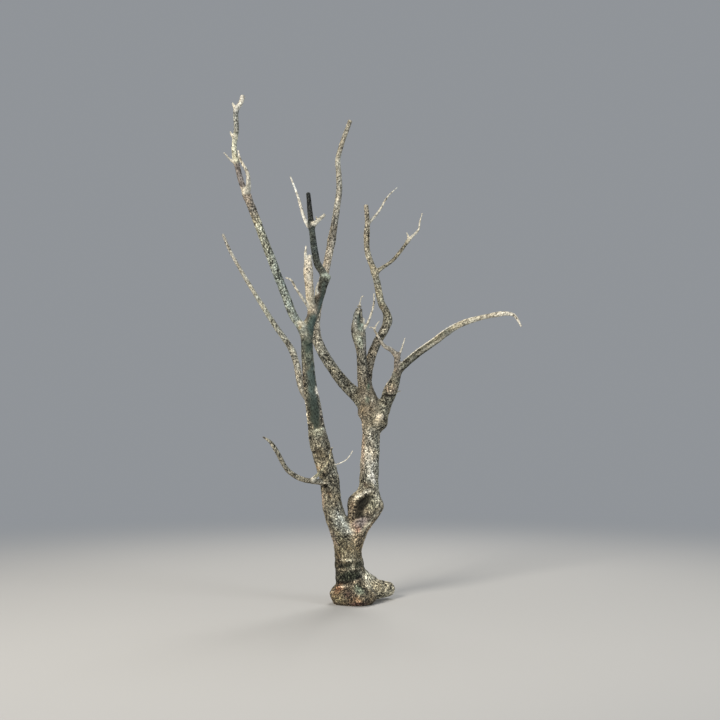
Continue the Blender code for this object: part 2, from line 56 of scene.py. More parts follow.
# Heading, reach, height of the bulge and half-width in degrees of each root lobe.
ROOT_LOBES = (
    (182, 0.060, 0.090, 38),
    (232, 0.075, 0.060, 30),
    (288, 0.135, 0.050, 34),
    (340, 0.100, 0.090, 30),
    (38, 0.160, 0.205, 30),
    (112, 0.090, 0.080, 32),
)


def smoothstep(low, high, value):
    """0 below low, 1 above high, and the S-shaped cubic 3t^2 - 2t^3 between them."""
    t = np.clip((value - low) / (high - low), 0, 1)
    return t * t * (3 - 2 * t)


def unit(vectors):
    return vectors / np.maximum(np.linalg.norm(vectors, axis=-1, keepdims=True), 1e-12)


def dot(a, b):
    return (a * b).sum(axis=-1)


def foot_radius(height, heading):
    """A round column, less a bell-shaped crease, plus lobes that die out upwards and sideways."""
    radius = 0.125 - 0.012 * np.exp(-(((height - 0.175) / 0.030) ** 2))
    for lobe_heading, reach, bulge, half_width in ROOT_LOBES:
        turn = (heading - lobe_heading + 180) % 360 - 180
        above = np.maximum(height - bulge, 0) / 0.075
        below = np.maximum(bulge - height, 0) / (1.4 * bulge)
        radius = radius + reach * np.exp(-((turn / half_width) ** 2) - above**1.4 - below**2)
    return radius


class Limb:
    """A smooth course, the girth along it, and what its bark looks like.

    The course joins the ends of straight stretches (length, lean from upright, heading) by cubics.
    """

    def __init__(self, parent, at, runs, swellings, looks):
        start = np.zeros(3) if parent is None else parent.at(at)[0]
        stretches = np.array([stretch for run in runs for stretch in run[2:]], dtype=float)
        lean, heading = np.radians(stretches[:, 1:]).T
        slopes = np.stack([np.sin(lean) * np.cos(heading), np.sin(lean) * np.sin(heading), np.cos(lean)])
        steps = stretches[:, :1] * slopes.T
        self.corners = np.vstack([start, start + np.cumsum(steps, axis=0)])
        self.knots = np.concatenate([[0.0], np.cumsum(stretches[:, 0])])
        self.length = self.knots[-1]
        ends = np.vstack([slopes.T[:1], slopes.T, slopes.T[-1:]])
        self.slopes = (ends[:-1] + ends[1:]) / 2
        self.parent, self.swellings, self.marks = parent, swellings, []
        marks, girths, along = [], [], 0.0
        for thick, thin, *course in runs:
            marks += [along, along + sum(stretch[0] for stretch in course)]
            girths += [thick, thin]
            along = marks[-1]
        self.marks_along, self.girths = np.array(marks) + np.arange(len(marks)) * 1e-6, girths
        self.base_girth = None if parent is None else 2 * parent.radius(np.array([at]))[0]
        self.looks = looks

    def at(self, d):
        """Points at these distances; before the start the course runs on straight."""
        d = np.atleast_1d(d)
        k = np.clip(np.searchsorted(self.knots, d) - 1, 0, len(self.knots) - 2)
        span = (self.knots[k + 1] - self.knots[k])[:, None]
        t = np.clip((d - self.knots[k])[:, None] / span, 0, 1)
        over = (d - np.clip(d, 0, self.length))[:, None]
        return (
            (2 * t**3 - 3 * t**2 + 1) * self.corners[k]
            + (t**3 - 2 * t**2 + t) * span * self.slopes[k]
            + (3 * t**2 - 2 * t**3) * self.corners[k + 1]
            + (t**3 - t**2) * span * self.slopes[k + 1]
            + over * np.where(over < 0, self.slopes[0], self.slopes[-1])
        )

    def frame(self, d):
        """Right-hand, away-from-front and along directions of the rings at these distances."""
        along = unit(self.at(d + 0.008) - self.at(d - 0.008))
        right = unit(np.stack([along[:, 2], np.zeros(len(along)), -along[:, 0]], axis=1))
        return right, np.cross(along, right), along

    def radius(self, d, heading=None, height=None):
        """Half the girth: an even taper, bell-shaped swellings, and a collar at the start."""
        shifts = np.linspace(-0.024, 0.024, 5)[:, None]
        girth = np.mean(np.interp(d + shifts, self.marks_along, self.girths), axis=0)
        for at, more, half in self.swellings:
            girth = girth + more * np.exp(-(((d - at) / half) ** 2))
        if self.base_girth is not None:
            beyond = np.maximum(d - self.base_girth / 2, 0)
            collar = girth * (1 + COLLAR * np.exp(-beyond / (0.6 * self.girths[0])))
            girth = np.minimum(collar, np.maximum(girth, 0.85 * self.base_girth))
        if self is LIMBS.get("left") and heading is not None:
            foot = foot_radius(np.maximum(height, 0), heading)
            return foot + (girth / 2 - foot) * smoothstep(0.32, 0.50, d)
        return girth / 2


def grow(name, parent, at, *runs, swellings=(), looks=()):
    """Starts a limb in the middle of its parent; a run is its thick end, thin end and stretches.

    A swelling is how far along it is, the girth it adds and its half-length. A look is how far
    along it is, a colour and a roughness.
    """
    LIMBS[name] = Limb(LIMBS.get(parent), at, runs, swellings, looks)


def around(limb, points, low, high):
    """How far points are outside a limb, and the nearest place on it.

    The nearest point is found on a chain of 20 mm chords and then moved along the smooth course.
    """
    d = np.linspace(low, high, max(2, round((high - low) / 0.02) + 1))
    spine, half = limb.at(d), limb.radius(d)
    start, step, swell = spine[:-1], np.diff(spine, axis=0), np.diff(half)
    nearest = np.empty(len(points))
    for part in np.array_split(np.arange(len(points)), 1 + len(points) * len(start) // 400_000):
        offset = points[part, None] - start
        t = np.clip(dot(offset, step) / dot(step, step), 0, 1)
        gap = np.linalg.norm(offset - t[..., None] * step, axis=2) - half[:-1] - t * swell
        best = gap.argmin(axis=1)
        nearest[part] = d[best] + t[np.arange(len(part)), best] * (d[1] - d[0])
    for _ in range(2):
        along = limb.frame(nearest)[2]
        nearest = np.clip(nearest + 0.8 * dot(points - limb.at(nearest), along), low, high)
    radial = points - limb.at(nearest)
    right, away, along = limb.frame(nearest)
    across = np.stack([dot(radial, right), dot(radial, away)], axis=1)
    heading = np.degrees(np.arctan2(across[:, 1], across[:, 0])) % 360
    size = np.linalg.norm(radial, axis=1)
    gap = size - limb.radius(nearest, heading, points[:, 2])
    return gap, unit(radial), np.column_stack([across, nearest]), heading


def scattered(cell, seed):
    """A fixed number from 0 to 1 for each whole-numbered cell, from mixed and folded bits."""
    x, y, z = (cell[..., i].astype(np.uint32) for i in range(3))
    bits = x * np.uint32(0x8DA6B343) ^ y * np.uint32(0xD8163841) ^ z * np.uint32(0xCB1AB31F)
    bits = bits ^ np.uint32(seed * 0x9E3779B1 & 0xFFFFFFFF)
    for shift, factor in ((15, 0x2C1B3C6D), (12, 0x297A2D39)):
        bits = (bits ^ (bits >> np.uint32(shift))) * np.uint32(factor)
    return (bits ^ (bits >> np.uint32(15))) / 2**32


def noise(points, seed):
    """Smooth noise, -1 to 1: scattered numbers on whole points, joined by S-shaped cubics."""
    base = np.floor(points).astype(np.int64)
    t = points - base
    t = t * t * (3 - 2 * t)
    total = np.zeros(len(points))
    for corner in np.ndindex(2, 2, 2):
        share = np.prod(np.where(corner, t, 1 - t), axis=1)
        total += share * scattered(base + np.array(corner), seed)
    return 2 * total - 1


def cracks(points, seed):
    """Plates round scattered seeds: how near the edge between two plates, and a plate's number."""
    base = np.floor(points).astype(np.int64)
    first, second, number = (np.full(len(points), 9.0) for _ in range(3))
    for corner in np.ndindex(3, 3, 3):
        cell = base + np.array(corner) - 1
        seeds = cell + np.stack([scattered(cell, seed + k) for k in range(3)], axis=1)
        gap = np.linalg.norm(points - seeds, axis=1)
        number = np.where(gap < first, scattered(cell, seed + 3), number)
        second = np.minimum(second, np.maximum(gap, first))
        first = np.minimum(first, gap)
    return smoothstep(0.30, 0.02, second - first), number


def linear(hex_colour):
    """An sRGB hex colour as linear light."""
    value = np.array([int(hex_colour[i : i + 2], 16) for i in (1, 3, 5)]) / 255
    return np.where(value <= 0.04045, value / 12.92, ((value + 0.055) / 1.055) ** 2.4)


def mark(limb, start, *rows):
    """Remembers hollows, scars, bare patches and knots on a limb, and patches of painted shade,
    painted shadow and painted highlight, one in each row.

    A row is millimetres past the start, heading, half-size across and along and height in
    millimetres, tilt to the right, colour, its share, raggedness, smoothness and crispness.
    """
    for d, heading, half_a, half_b, high, tilt, colour, *rest in rows:
        mix, ragged, smooth, crisp = (*rest, *(0.8, 0.2, 0.0, 1)[len(rest) :])
        shade = None if colour is None else linear(colour)
        size = half_a / 1000, half_b / 1000
        LIMBS[limb].marks.append(
            (start + d / 1000, heading, size, high / 1000, tilt, shade, mix, smooth, crisp, ragged)
        )


def bark(limb, grain, heading):
    """Height of the bark over the round limb, its colour and how rough it is, from its own grain.

    Grain coordinates are two across the limb and one along it. Height is the sum of broad lumps,
    plates with cracks between them, pits and a fine grain; cracks, pits and specks are dark and ridges
    pale, partly their own colour and partly painted shade and painted light on that relief. The left
    side is a little warmer and the right side cooler, painted warm and cool light. The back has
    patches of pale crust and of dark, worn bark.
    """
    d = grain[:, 2]

    def waves(across_count, along_count, seed):
        """Noise with this many swells to a metre across the limb and along it."""
        return noise(grain * [across_count, across_count, along_count], seed)

    where, shades, rough = zip(*limb.looks)
    shades = np.array([linear(shade) for shade in shades])
    colour = np.stack([np.interp(d, where, shades[:, k]) for k in range(3)], axis=1)
    rough = np.interp(d, where, rough)
    across = np.radians(heading)
    size = limb.radius(d)
    scale = np.clip(size / 0.085, 0.10, 1.0) ** 0.8
    wobble = waves(26, 17, 31), waves(26, 17, 32)

    lift = np.zeros(len(d))
    for at, toward, (half_a, half_b), high, tilt, shade, mix, smooth, crisp, ragged in limb.marks:
        turn = (heading - toward + 180) % 360 - 180
        a, b = np.radians(turn) * size, d - at
        lean = np.radians(tilt)
        a, b = a * np.cos(lean) - b * np.sin(lean), a * np.sin(lean) + b * np.cos(lean)
        a, b = a / half_a + ragged * wobble[0], b / half_b + ragged * wobble[1]
        share = np.exp(-((a * a + b * b) ** crisp))
        lift += high * share
        rough = rough * (1 - smooth * share)
        if shade is not None:
            colour = colour + (mix * share)[:, None] * (shade - colour)

    behind = smoothstep(-0.1, 0.7, np.sin(across))
    crust = behind * smoothstep(0.00, 0.40, waves(9, 4, 17))
    worn = behind * smoothstep(0.15, 0.45, waves(10, 4, 18))
    colour = colour * (1 + crust[:, None] * [0.50, 0.58, 0.55]) * (1 - 0.40 * worn[:, None])
    rough = rough * (1 - 0.55 * worn)
    lumps = 0.0045 * waves(9, 6, 1) + 0.0040 * waves(24, 17, 2)
    edge, number = cracks(grain * [33, 33, 22], 3)
    patchy = 0.4 + 0.6 * smoothstep(-0.35, 0.35, waves(10, 7, 16))
    pits = patchy * smoothstep(0.22, 0.50, waves(88, 70, 7))
    specks = patchy * smoothstep(0.25, 0.50, waves(150, 125, 12))
    fine = waves(175, 150, 8)
    lift += scale * (0.45 + 0.55 * rough) * lumps
    lift += scale * rough * (0.0014 * (number - 0.5) - 0.0024 * edge - 0.0034 * pits - 0.0016 * specks)
    lift += scale * rough * 0.0009 * fine
    # The tone: random mottling, with cracks, pits and specks darker and raised plates and grain paler,
    # partly their own colour and partly painted shade in the recesses and painted light on the ridges.
    tone = 0.30 * waves(13, 9, 15) + 0.32 * waves(32, 24, 9)
    tone += 0.52 * waves(98, 80, 10) + 0.75 * fine
    tone += 0.25 * (number - 0.5) - 0.7 * edge - 2.2 * pits - 2.5 * specks
    tone = tone * (0.20 + 0.80 * rough) + 0.49 * rough
    hue = 0.06 * waves(11, 8, 13) + 0.05 * waves(34, 26, 14)
    # A random drift of hue, plus the left side painted warmer and the right side cooler: painted warm light
    # from the left and cool light from the right.
    hue_and_painted_light = (hue - 0.025 * np.cos(across))[:, None] * [1.0, 0.1, -1.1]
    return np.column_stack([lift, colour * np.exp(tone)[:, None] * (1 + hue_and_painted_light), rough])


def flowing(limb, points, d_low, d_high, kin, ease):
    """Lays the start of a limb over what it grows out of, with a smooth fillet between the two.

    The fillet is where exp(-a/e) + exp(-b/e) = 1, with a and b how far a point is outside the limb
    and outside its kin, and e the ease. A ring that lies inside the kin is first laid on the kin's
    skin, as far out from the limb as it was deep, so the limb ends in a skirt that dips under.
    """

    def body(at):
        found = [around(other, at, low, high) for other, low, high in kin]
        gaps = np.stack([one[0] for one in found])
        least = gaps.min(axis=0)
        parts = np.exp(-(gaps - least) / ease)
        total = parts.sum(axis=0)
        shares = parts / total
        out = unit((shares[..., None] * np.stack([one[1] for one in found])).sum(axis=0))
        return least - ease * np.log(total), out, shares, found

    deep, out, _, _ = body(points)
    moved = (deep > -2.1 * ease - 0.002) & (deep < 4 * ease)
    place, deep, out = points[moved], deep[moved], out[moved]
    own_out = around(limb, place, d_low, d_high)[1]
    slide = unit(own_out - dot(own_out, out)[:, None] * out)
    place = place - np.minimum(deep, 0)[:, None] * out
    gap, own_out, _, _ = around(limb, place, d_low, d_high)
    want = ease * np.logaddexp(0, 1.4 - deep / ease)
    far = (want - gap) / np.maximum(dot(slide, own_out), 0.35)
    place = place + np.clip(far, -0.02, 5 * ease)[:, None] * slide
    for _ in range(7):
        gap, own_out, grain, heading = around(limb, place, d_low, d_high)
        other, out, shares, found = body(place)
        lead = np.clip((gap - other) / ease, -40, 40)
        share = 1 / (1 + np.exp(-lead))
        push = own_out + share[:, None] * (out - own_out)
        level = gap - ease * np.logaddexp(0, lead)
        level = level + np.clip(0.14 * (gap - 1.9 * ease), 0, 0.005) * (lead > 0)
        step = level / np.maximum(dot(push, push), 0.35)
        place = place - np.clip(step, -ease, ease)[:, None] * push
    return moved, place, unit(push), smoothstep(0.05, 0.95, share), grain, heading, shares, found


def overlay(limb, d, points, coat, out, low, high, kin, ease):
    """Lays a limb's first rings over its kin, with the two barks blended across the fillet."""
    near = np.flatnonzero(d < min(high, FILLET_REACH))
    spans = []
    for other in (LIMBS[name] for name in kin):
        chain = np.linspace(0, other.length, 200)
        reach = np.linalg.norm(other.at(chain)[:, None] - points[near][::37], axis=2).min(axis=1)
        close_by = chain[reach < other.radius(chain) + 0.1]
        if len(close_by):
            spans.append((other, max(close_by[0] - 0.05, -0.05), min(close_by[-1] + 0.05, other.length)))
    moved, place, push, share, own_grain, own_heading, shares, found = flowing(
        limb, points[near], low - 0.05, min(high, FILLET_REACH + 0.2), spans, ease
    )
    own = bark(limb, own_grain, own_heading)
    theirs = sum(
        part[:, None] * bark(span[0], one[2], one[3]) for part, span, one in zip(shares, spans, found)
    )
    index = near[moved]
    points[index], coat[index], out[index] = place, own + share[:, None] * (theirs - own), push


def rings(limb, low, high, step, base, top, ease, buried):
    """Distances of a piece's rings along its limb, and each one's share of the radius and depth.

    They are even, and closer together where the limb leaves its kin. A seam's last rings are sunk
    under the next piece, and a broken end is a rough dome.
    """
    d = np.linspace(low, high, max(3, round((high - low) / step) + 1))
    if base == "kin":
        within = buried or 1.1 * limb.base_girth + 4 * ease
        finer = np.arange(low, min(within, high - 0.01), min(step, ease / 2.5))
        d = np.concatenate([finer, d[d > finer[-1] + step / 2]])
    shrink, sunk = np.ones(len(d)), np.zeros(len(d))
    close = np.array([0.93, 0.8, 0.55, 0.25])
    if base == "seam":
        d = np.concatenate([np.full(5, low - OVERLAP), [low - OVERLAP / 2], d])
        shrink = np.concatenate([close[::-1], [1, 1], shrink])
        sunk = np.concatenate([np.full(5, SUNK), [2 / 3 * SUNK], sunk])
    else:
        d = np.concatenate([np.full(4, low), d])
        shrink = np.concatenate([close[::-1], shrink])
        sunk = np.concatenate([np.zeros(4), sunk])
    if top == "seam":
        d = np.concatenate([d, [high + OVERLAP / 2], np.full(5, high + OVERLAP)])
        shrink = np.concatenate([shrink, [1, 1], close])
        sunk = np.concatenate([sunk, [2 / 3 * SUNK], np.full(5, SUNK)])
    else:
        turn = np.radians([20, 38, 54, 68, 79, 87])
        tip = limb.radius(np.array([high]))[0]
        rim, rise = 0.3 * tip, 0.45 * tip
        d = d - rim * (d > high - rim)
        d = np.maximum.accumulate(np.concatenate([d, high - rim + rise * np.sin(turn)]))
        shrink = np.concatenate([shrink, np.cos(turn) ** 0.7])
        sunk = np.concatenate([sunk, np.zeros(len(turn))])
    return d, shrink, sunk


def skin(name, low, high, columns, step=0.004, base="kin", top="seam", kin=(), ease=0.012, buried=0):
    """The grid of one limb from one distance along it to another, as points, faces and colours.

    A ring point is the course, plus the radius in the ring's direction, plus the bark's height.
    kin are the limbs it grows out of, ease the width of the fillet on them, and buried how far
    along the rings lie closer together. Fans of triangles close both ends.
    """
    limb = LIMBS[name]
    rows, shrink, sunk = rings(limb, low, high, step, base, top, ease, buried)
    heading = np.tile(np.arange(columns) * 360 / columns, len(rows))
    d, shrink, sunk = (np.repeat(value, columns) for value in (rows, shrink, sunk))
    middle = np.repeat(limb.at(rows), columns, axis=0)
    right, away, along = (np.repeat(value, columns, axis=0) for value in limb.frame(rows))
    turn = np.radians(heading)[:, None]
    out = np.cos(turn) * right + np.sin(turn) * away
    half = limb.radius(d)
    for _ in range(3):
        half = limb.radius(d, heading, middle[:, 2] + half * out[:, 2])
    half = half - sunk
    points = middle + (half * shrink)[:, None] * out
    grain = np.column_stack([half * np.cos(turn[:, 0]), half * np.sin(turn[:, 0]), d])
    coat = bark(limb, grain, heading)
    if kin:
        overlay(limb, d, points, coat, out, low, high, kin, ease)
    points = points + coat[:, :1] * out
    if top == "broken":
        ragged = noise(grain * 1.6 / half.clip(0.004)[:, None] * [1, 1, 0], 21) * (1 - shrink**3)
        torn = d > high - limb.radius(np.array([high]))[0]
        points = points + (0.30 * half * ragged * torn)[:, None] * along
    if base == "ground" or name == "root":
        points[:, 2] = np.maximum(points[:, 2], 0)
    grid = np.arange(len(points)).reshape(-1, columns)
    beside = np.roll(grid, -1, axis=1)
    quads = np.stack([grid[:-1], beside[:-1], beside[1:], grid[1:]], axis=-1).reshape(-1, 4)
    first = np.stack([beside[0], grid[0], np.full(columns, len(points))], axis=-1)
    last = np.stack([grid[-1], beside[-1], np.full(columns, len(points) + 1)], axis=-1)
    points, colours = (
        np.vstack([value, value[:columns].mean(axis=0), value[-columns:].mean(axis=0)])
        for value in (points, coat[:, 1:])
    )
    return points, quads, np.concatenate([first, last]), colours


def clothe(name, node, slot, material, *skins):
    """Puts one or more grids into one mesh that stands for a solid of the frame."""
    points, colours = (np.vstack([one[k] for one in skins]) for k in (0, 3))
    starts = np.cumsum([0] + [len(one[0]) for one in skins])
    quads = np.vstack([one[1] + start for one, start in zip(skins, starts)])
    caps = np.vstack([one[2] + start for one, start in zip(skins, starts)])
    mesh = bpy.data.meshes.new(name)
    mesh.vertices.add(len(points))
    mesh.vertices.foreach_set("co", points.astype(np.float32).ravel())
    mesh.loops.add(quads.size + caps.size)
    mesh.loops.foreach_set("vertex_index", np.concatenate([quads.ravel(), caps.ravel()]).astype(np.int32))
    mesh.polygons.add(len(quads) + len(caps))
    first = np.concatenate([np.arange(len(quads)) * 4, quads.size + np.arange(len(caps)) * 3])
    mesh.polygons.foreach_set("loop_start", first.astype(np.int32))
    mesh.polygons.foreach_set("use_smooth", np.ones(len(quads) + len(caps), dtype=bool))
    tint = mesh.attributes.new("tint", "FLOAT_COLOR", "POINT")
    tint.data.foreach_set("color", colours.astype(np.float32).ravel())
    mesh.update(calc_edges=True)
    mesh.validate()
    piece = bpy.data.objects.new(name, mesh)
    bpy.context.scene.collection.objects.link(piece)
    mesh.materials.append(material)
    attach(piece, "root")
    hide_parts(*node)


def add_node(tree, kind, settings=(), **inputs):
    """Adds a node, sets its properties, and fills its sockets with values or links."""
    node = tree.nodes.new(kind)
    for key, value in dict(settings).items():
        setattr(node, key, value)
    for key, value in inputs.items():
        socket = node.inputs[int(key[1:]) if key[1:].isdigit() else key.replace("_", " ")]
        if isinstance(value, bpy.types.NodeSocket):
            tree.links.new(value, socket)
        else:
            socket.default_value = value
    return node


def dry_surface(name, roughness, speckle, bump):
    """A dry, matt material whose colour is the mesh's own, broken up by a fine grain where rough.

    The colour is the mesh's times 1 + roughness x fleck. speckle is how far a fleck darkens, and
    bump its depth in metres.
    """
    material = bpy.data.materials.new(name)
    material.use_nodes = True
    tree = material.node_tree
    tree.nodes.clear()
    tint = add_node(tree, "ShaderNodeAttribute", {"attribute_name": "tint"})
    place = add_node(tree, "ShaderNodeTexCoord")
    grain = add_node(
        tree, "ShaderNodeTexNoise", Vector=place.outputs["Object"], Scale=1000 / GRAIN_MM, Detail=3.0,
        Roughness=0.6,
    )
    darker = add_node(
        tree, "ShaderNodeMapRange", Value=grain.outputs["Fac"], From_Min=0.42, From_Max=0.58,
        To_Min=-speckle, To_Max=0.6 * speckle,
    )
    share = add_node(
        tree, "ShaderNodeMath", {"operation": "MULTIPLY_ADD"}, _0=darker.outputs["Result"],
        _1=tint.outputs["Alpha"], _2=1.0,
    )
    colour = add_node(
        tree, "ShaderNodeVectorMath", {"operation": "SCALE"}, _0=tint.outputs["Color"],
        Scale=share.outputs["Value"],
    )
    relief = add_node(tree, "ShaderNodeBump", Height=grain.outputs["Fac"], Distance=bump, Strength=0.9)
    shader = add_node(
        tree, "ShaderNodeBsdfPrincipled", Base_Color=colour.outputs["Vector"], Roughness=roughness,
        Specular_IOR_Level=0.25, Normal=relief.outputs["Normal"],
    )
    add_node(tree, "ShaderNodeOutputMaterial", Surface=shader.outputs["BSDF"])
    return material


grow(
    "left", None, 0,
    (0.250, 0.226, (COLUMN, 5, 180)),
    (0.225, 0.178, (0.14, 10, 190), (0.16, 20, 190), (0.16, 20, 203)),
    (0.178, 0.098, (0.14, 17, 234), (0.16, 13, 244), (0.34, 19, 219), (0.34, 13, 228), (0.26, 11, 224),
     (0.34, 8, 249)),
    (0.098, 0.080, (0.10, 6, 0), (0.10, 22, 20), (0.28, 30, 57), (0.12, 29, 69)),
    (0.072, 0.042, (0.07, 22, 127), (0.10, 46, 126), (0.12, 34, 113), (0.27, 31, 104), (0.10, 29, 104),
     (0.33, 24, 104)),
    swellings=(
        (COLUMN + 0.78, 0.012, 0.09), (COLUMN + 1.05, 0.024, 0.22), (COLUMN + 2.10, 0.012, 0.06),
        (COLUMN + 2.63, 0.016, 0.04), (COLUMN + 3.28, 0.018, 0.04),
    ),
    looks=(
        (0.00, "#645947", 1.1), (0.12, "#695f4b", 1.1), (0.22, "#413f37", 1.0), (0.30, "#434035", 1.0),
        (0.42, "#4d483a", 1.0), (0.58, "#69634f", 1.0), (0.80, "#7b7462", 0.9), (1.50, "#787363", 0.9),
        (2.42, "#5e5f52", 0.7), (2.60, "#52554b", 0.7), (3.00, "#4e5047", 0.7), (3.30, "#4c514b", 0.6),
        (3.62, "#444943", 0.6), (3.80, "#353633", 0.9), (4.10, "#33342f", 0.9),
    ),
)
mark(
    "left", COLUMN,
    (183, 228, 20, 39, -12, -52, "#120f0a", 0.95, 0.2, 0, 2),
    (153, 260, 10, 60, -6, -70, "#1d1811", 0.9, 0.4),
    (99, 276, 26, 45, -14, -57, "#19150e", 0.95, 0.3, 0, 2),
    (57, 280, 10, 51, 4, -80, "#b5ab92"),
    (15, 270, 10, 87, 6, -82, "#c9c0a6", 0.9, 0.3),
    (15, 230, 40, 85, 0, 0, "#6b5a47", 0.55, 0.4),
)
mark(
    "left", 0,
    (348, 272, 22, 108, -6, -84, "#292c23", 0.9, 0.3, 0, 2),
    (312, 272, 9, 109, 5, -88, "#968e78", 0.85, 0.3),
    (250, 266, 44, 105, -4, 88, "#363a2d", 0.85, 0.25, 0, 2.5),
    (190, 240, 14, 85, -10, 88, "#16130e", 0.85, 0.4),
    (168, 246, 11, 56, 5, 87, "#b3a68f", 0.85),
    (198, 294, 12, 50, 5, 73, "#a99980", 0.85),
    (360, 342, 12, 55, 3, -4, "#a29c86"),
    (234, 334, 17, 60, 0, -18, "#b9b098", 0.85, 0.3),
    (235, 8, 55, 45, 0, 0, "#cac2a8", 0.8, 0.4),
    (150, 226, 35, 30, 0, 0, "#866149", 0.85, 0.4),
    (120, 204, 12, 26, 3, -35, "#b5a68c", 0.7),
    (105, 264, 34, 40, -6, -13, "#3f2e29", 0.85, 0.4),
    (55, 282, 28, 28, 0, 0, "#80654a", 0.8, 0.4),
    (18, 284, 45, 16, 0, 0, "#6f4f48", 0.8, 0.4),
    (135, 298, 32, 38, 3, 0, "#7d8570", 0.8, 0.3, 0, 1.5),
    (112, 318, 14, 22, -10, 19, "#1b1a16", 0.9),
    (165, 358, 44, 60, 0, 0, "#e6dec3", 0.9, 0.4),
    (126, 2, 10, 20, -5, 7, "#3a3024"),
    (66, 238, 26, 40, 0, -68, "#67624c", 0.7, 0.4),
)
mark(
    "left", COLUMN,
    (333, 300, 48, 110, 0, -9, "#c4c5b7", 0.85, 0.4, 0.2),
    (297, 294, 10, 21, -6, -5, "#2c2a22", 0.85),
    (243, 320, 13, 53, 3, -67, "#d9d3c0", 0.9, 0.2, 0.3),
    (441, 296, 12, 39, 0, -2, "#c8c5b6"),
    (240, 205, 50, 100, 0, 0, "#8e8274", 0.7, 0.4, 0.2),
    (100, 285, 90, 60, 0, 0, "#8f8d78", 0.4, 0.5),
    (585, 210, 14, 79, 3, 11, "#b39f8a", 0.8, 0.4),
    (657, 260, 24, 40, 0, -26, "#54412f", 0.75, 0.5),
    (712, 238, 24, 34, -26, 80, "#070605", 0.98, 0.2, 0, 3),
    (745, 236, 10, 40, 6, 84, "#c8c0aa", 0.9),
    (831, 246, 22, 42, -10, -86, "#22211b", 0.9, 0.4),
    (831, 310, 20, 42, 0, -25, "#bab39e", 0.75, 0.4),
    (905, 222, 20, 40, 0, 82, "#98805f", 0.7, 0.4),
    (897, 246, 20, 44, 4, -39, "#d6c9ab", 0.85, 0.3, 0.2),
    (1041, 248, 20, 30, -8, -27, "#262019", 0.85),
    (1040, 215, 10, 50, -10, 80, "#2a221a", 0.85, 0.4),
)
# Dead bark bleached by sun and rain: dry and matt, and flecked wherever it is rough.
weathered_bark = dry_surface("weathered_bark", 0.92, 0.90, 0.0014)
TRUNK_END = COLUMN + 0.46
clothe(
    "trunk_foot", ["trunk"], "bark", weathered_bark,
    skin("left", -0.045, TRUNK_END, 240, 0.0045, base="ground"),
)

# ======================================== broken root
# One root that stands clear of the foot behind the tree and was broken off short. It is wood
# under pale, crusted bark, and grows out of the foot.

LIMBS["root"] = Limb(
    None, 0, ((0.235, 0.125, (0.20, 96, 35), (0.16, 95, 46), (0.06, 94, 55)),), (), ((0, "#a59d86", 1.0),)
)
ROOT_START = [0.04, 0.02, 0.125]
LIMBS["root"].corners += ROOT_START
clothe(
    "trunk_root", ["trunk"], "bark", weathered_bark,
    skin("root", -0.02, 0.42, 150, 0.0045, top="broken", kin=("left",), ease=0.014, buried=0.3),
)

# ======================================== right leader
# The thick right leader swells into a burl with a slanting hollow and ends in a torn bough. It is
# knotty wood under dry bark, and grows out of the top of the column beside the left leader.

grow(
    "right", "left", COLUMN,
    (0.215, 0.172, (0.11, 9, 0), (0.12, 22, 26), (0.23, 22, 24), (0.16, 17, 33), (0.12, 17, 73)),
    (0.172, 0.158, (0.28, 9, 72), (0.19, 13, 79), (0.16, 14, 90), (0.13, 16, 148), (0.06, 17, 180)),
    (0.118, 0.050, (0.06, 18, 205), (0.17, 13, 247), (0.17, 14, 257), (0.24, 15, 240), (0.15, 13, 290)),
    swellings=((0.47, 0.110, 0.10), (0.56, 0.090, 0.075), (1.38, 0.075, 0.08), (2.14, 0.066, 0.13)),
    looks=(
        (0.00, "#7a7058", 1.0), (0.30, "#8f806a", 0.9), (0.70, "#85806e", 1.0), (0.90, "#9b9483", 0.9),
        (1.20, "#928a78", 0.9), (1.40, "#7a7161", 0.8), (1.90, "#7e7a6d", 0.7), (2.40, "#8a8577", 0.7),
    ),
)
LIMBS["right"].base_girth = None
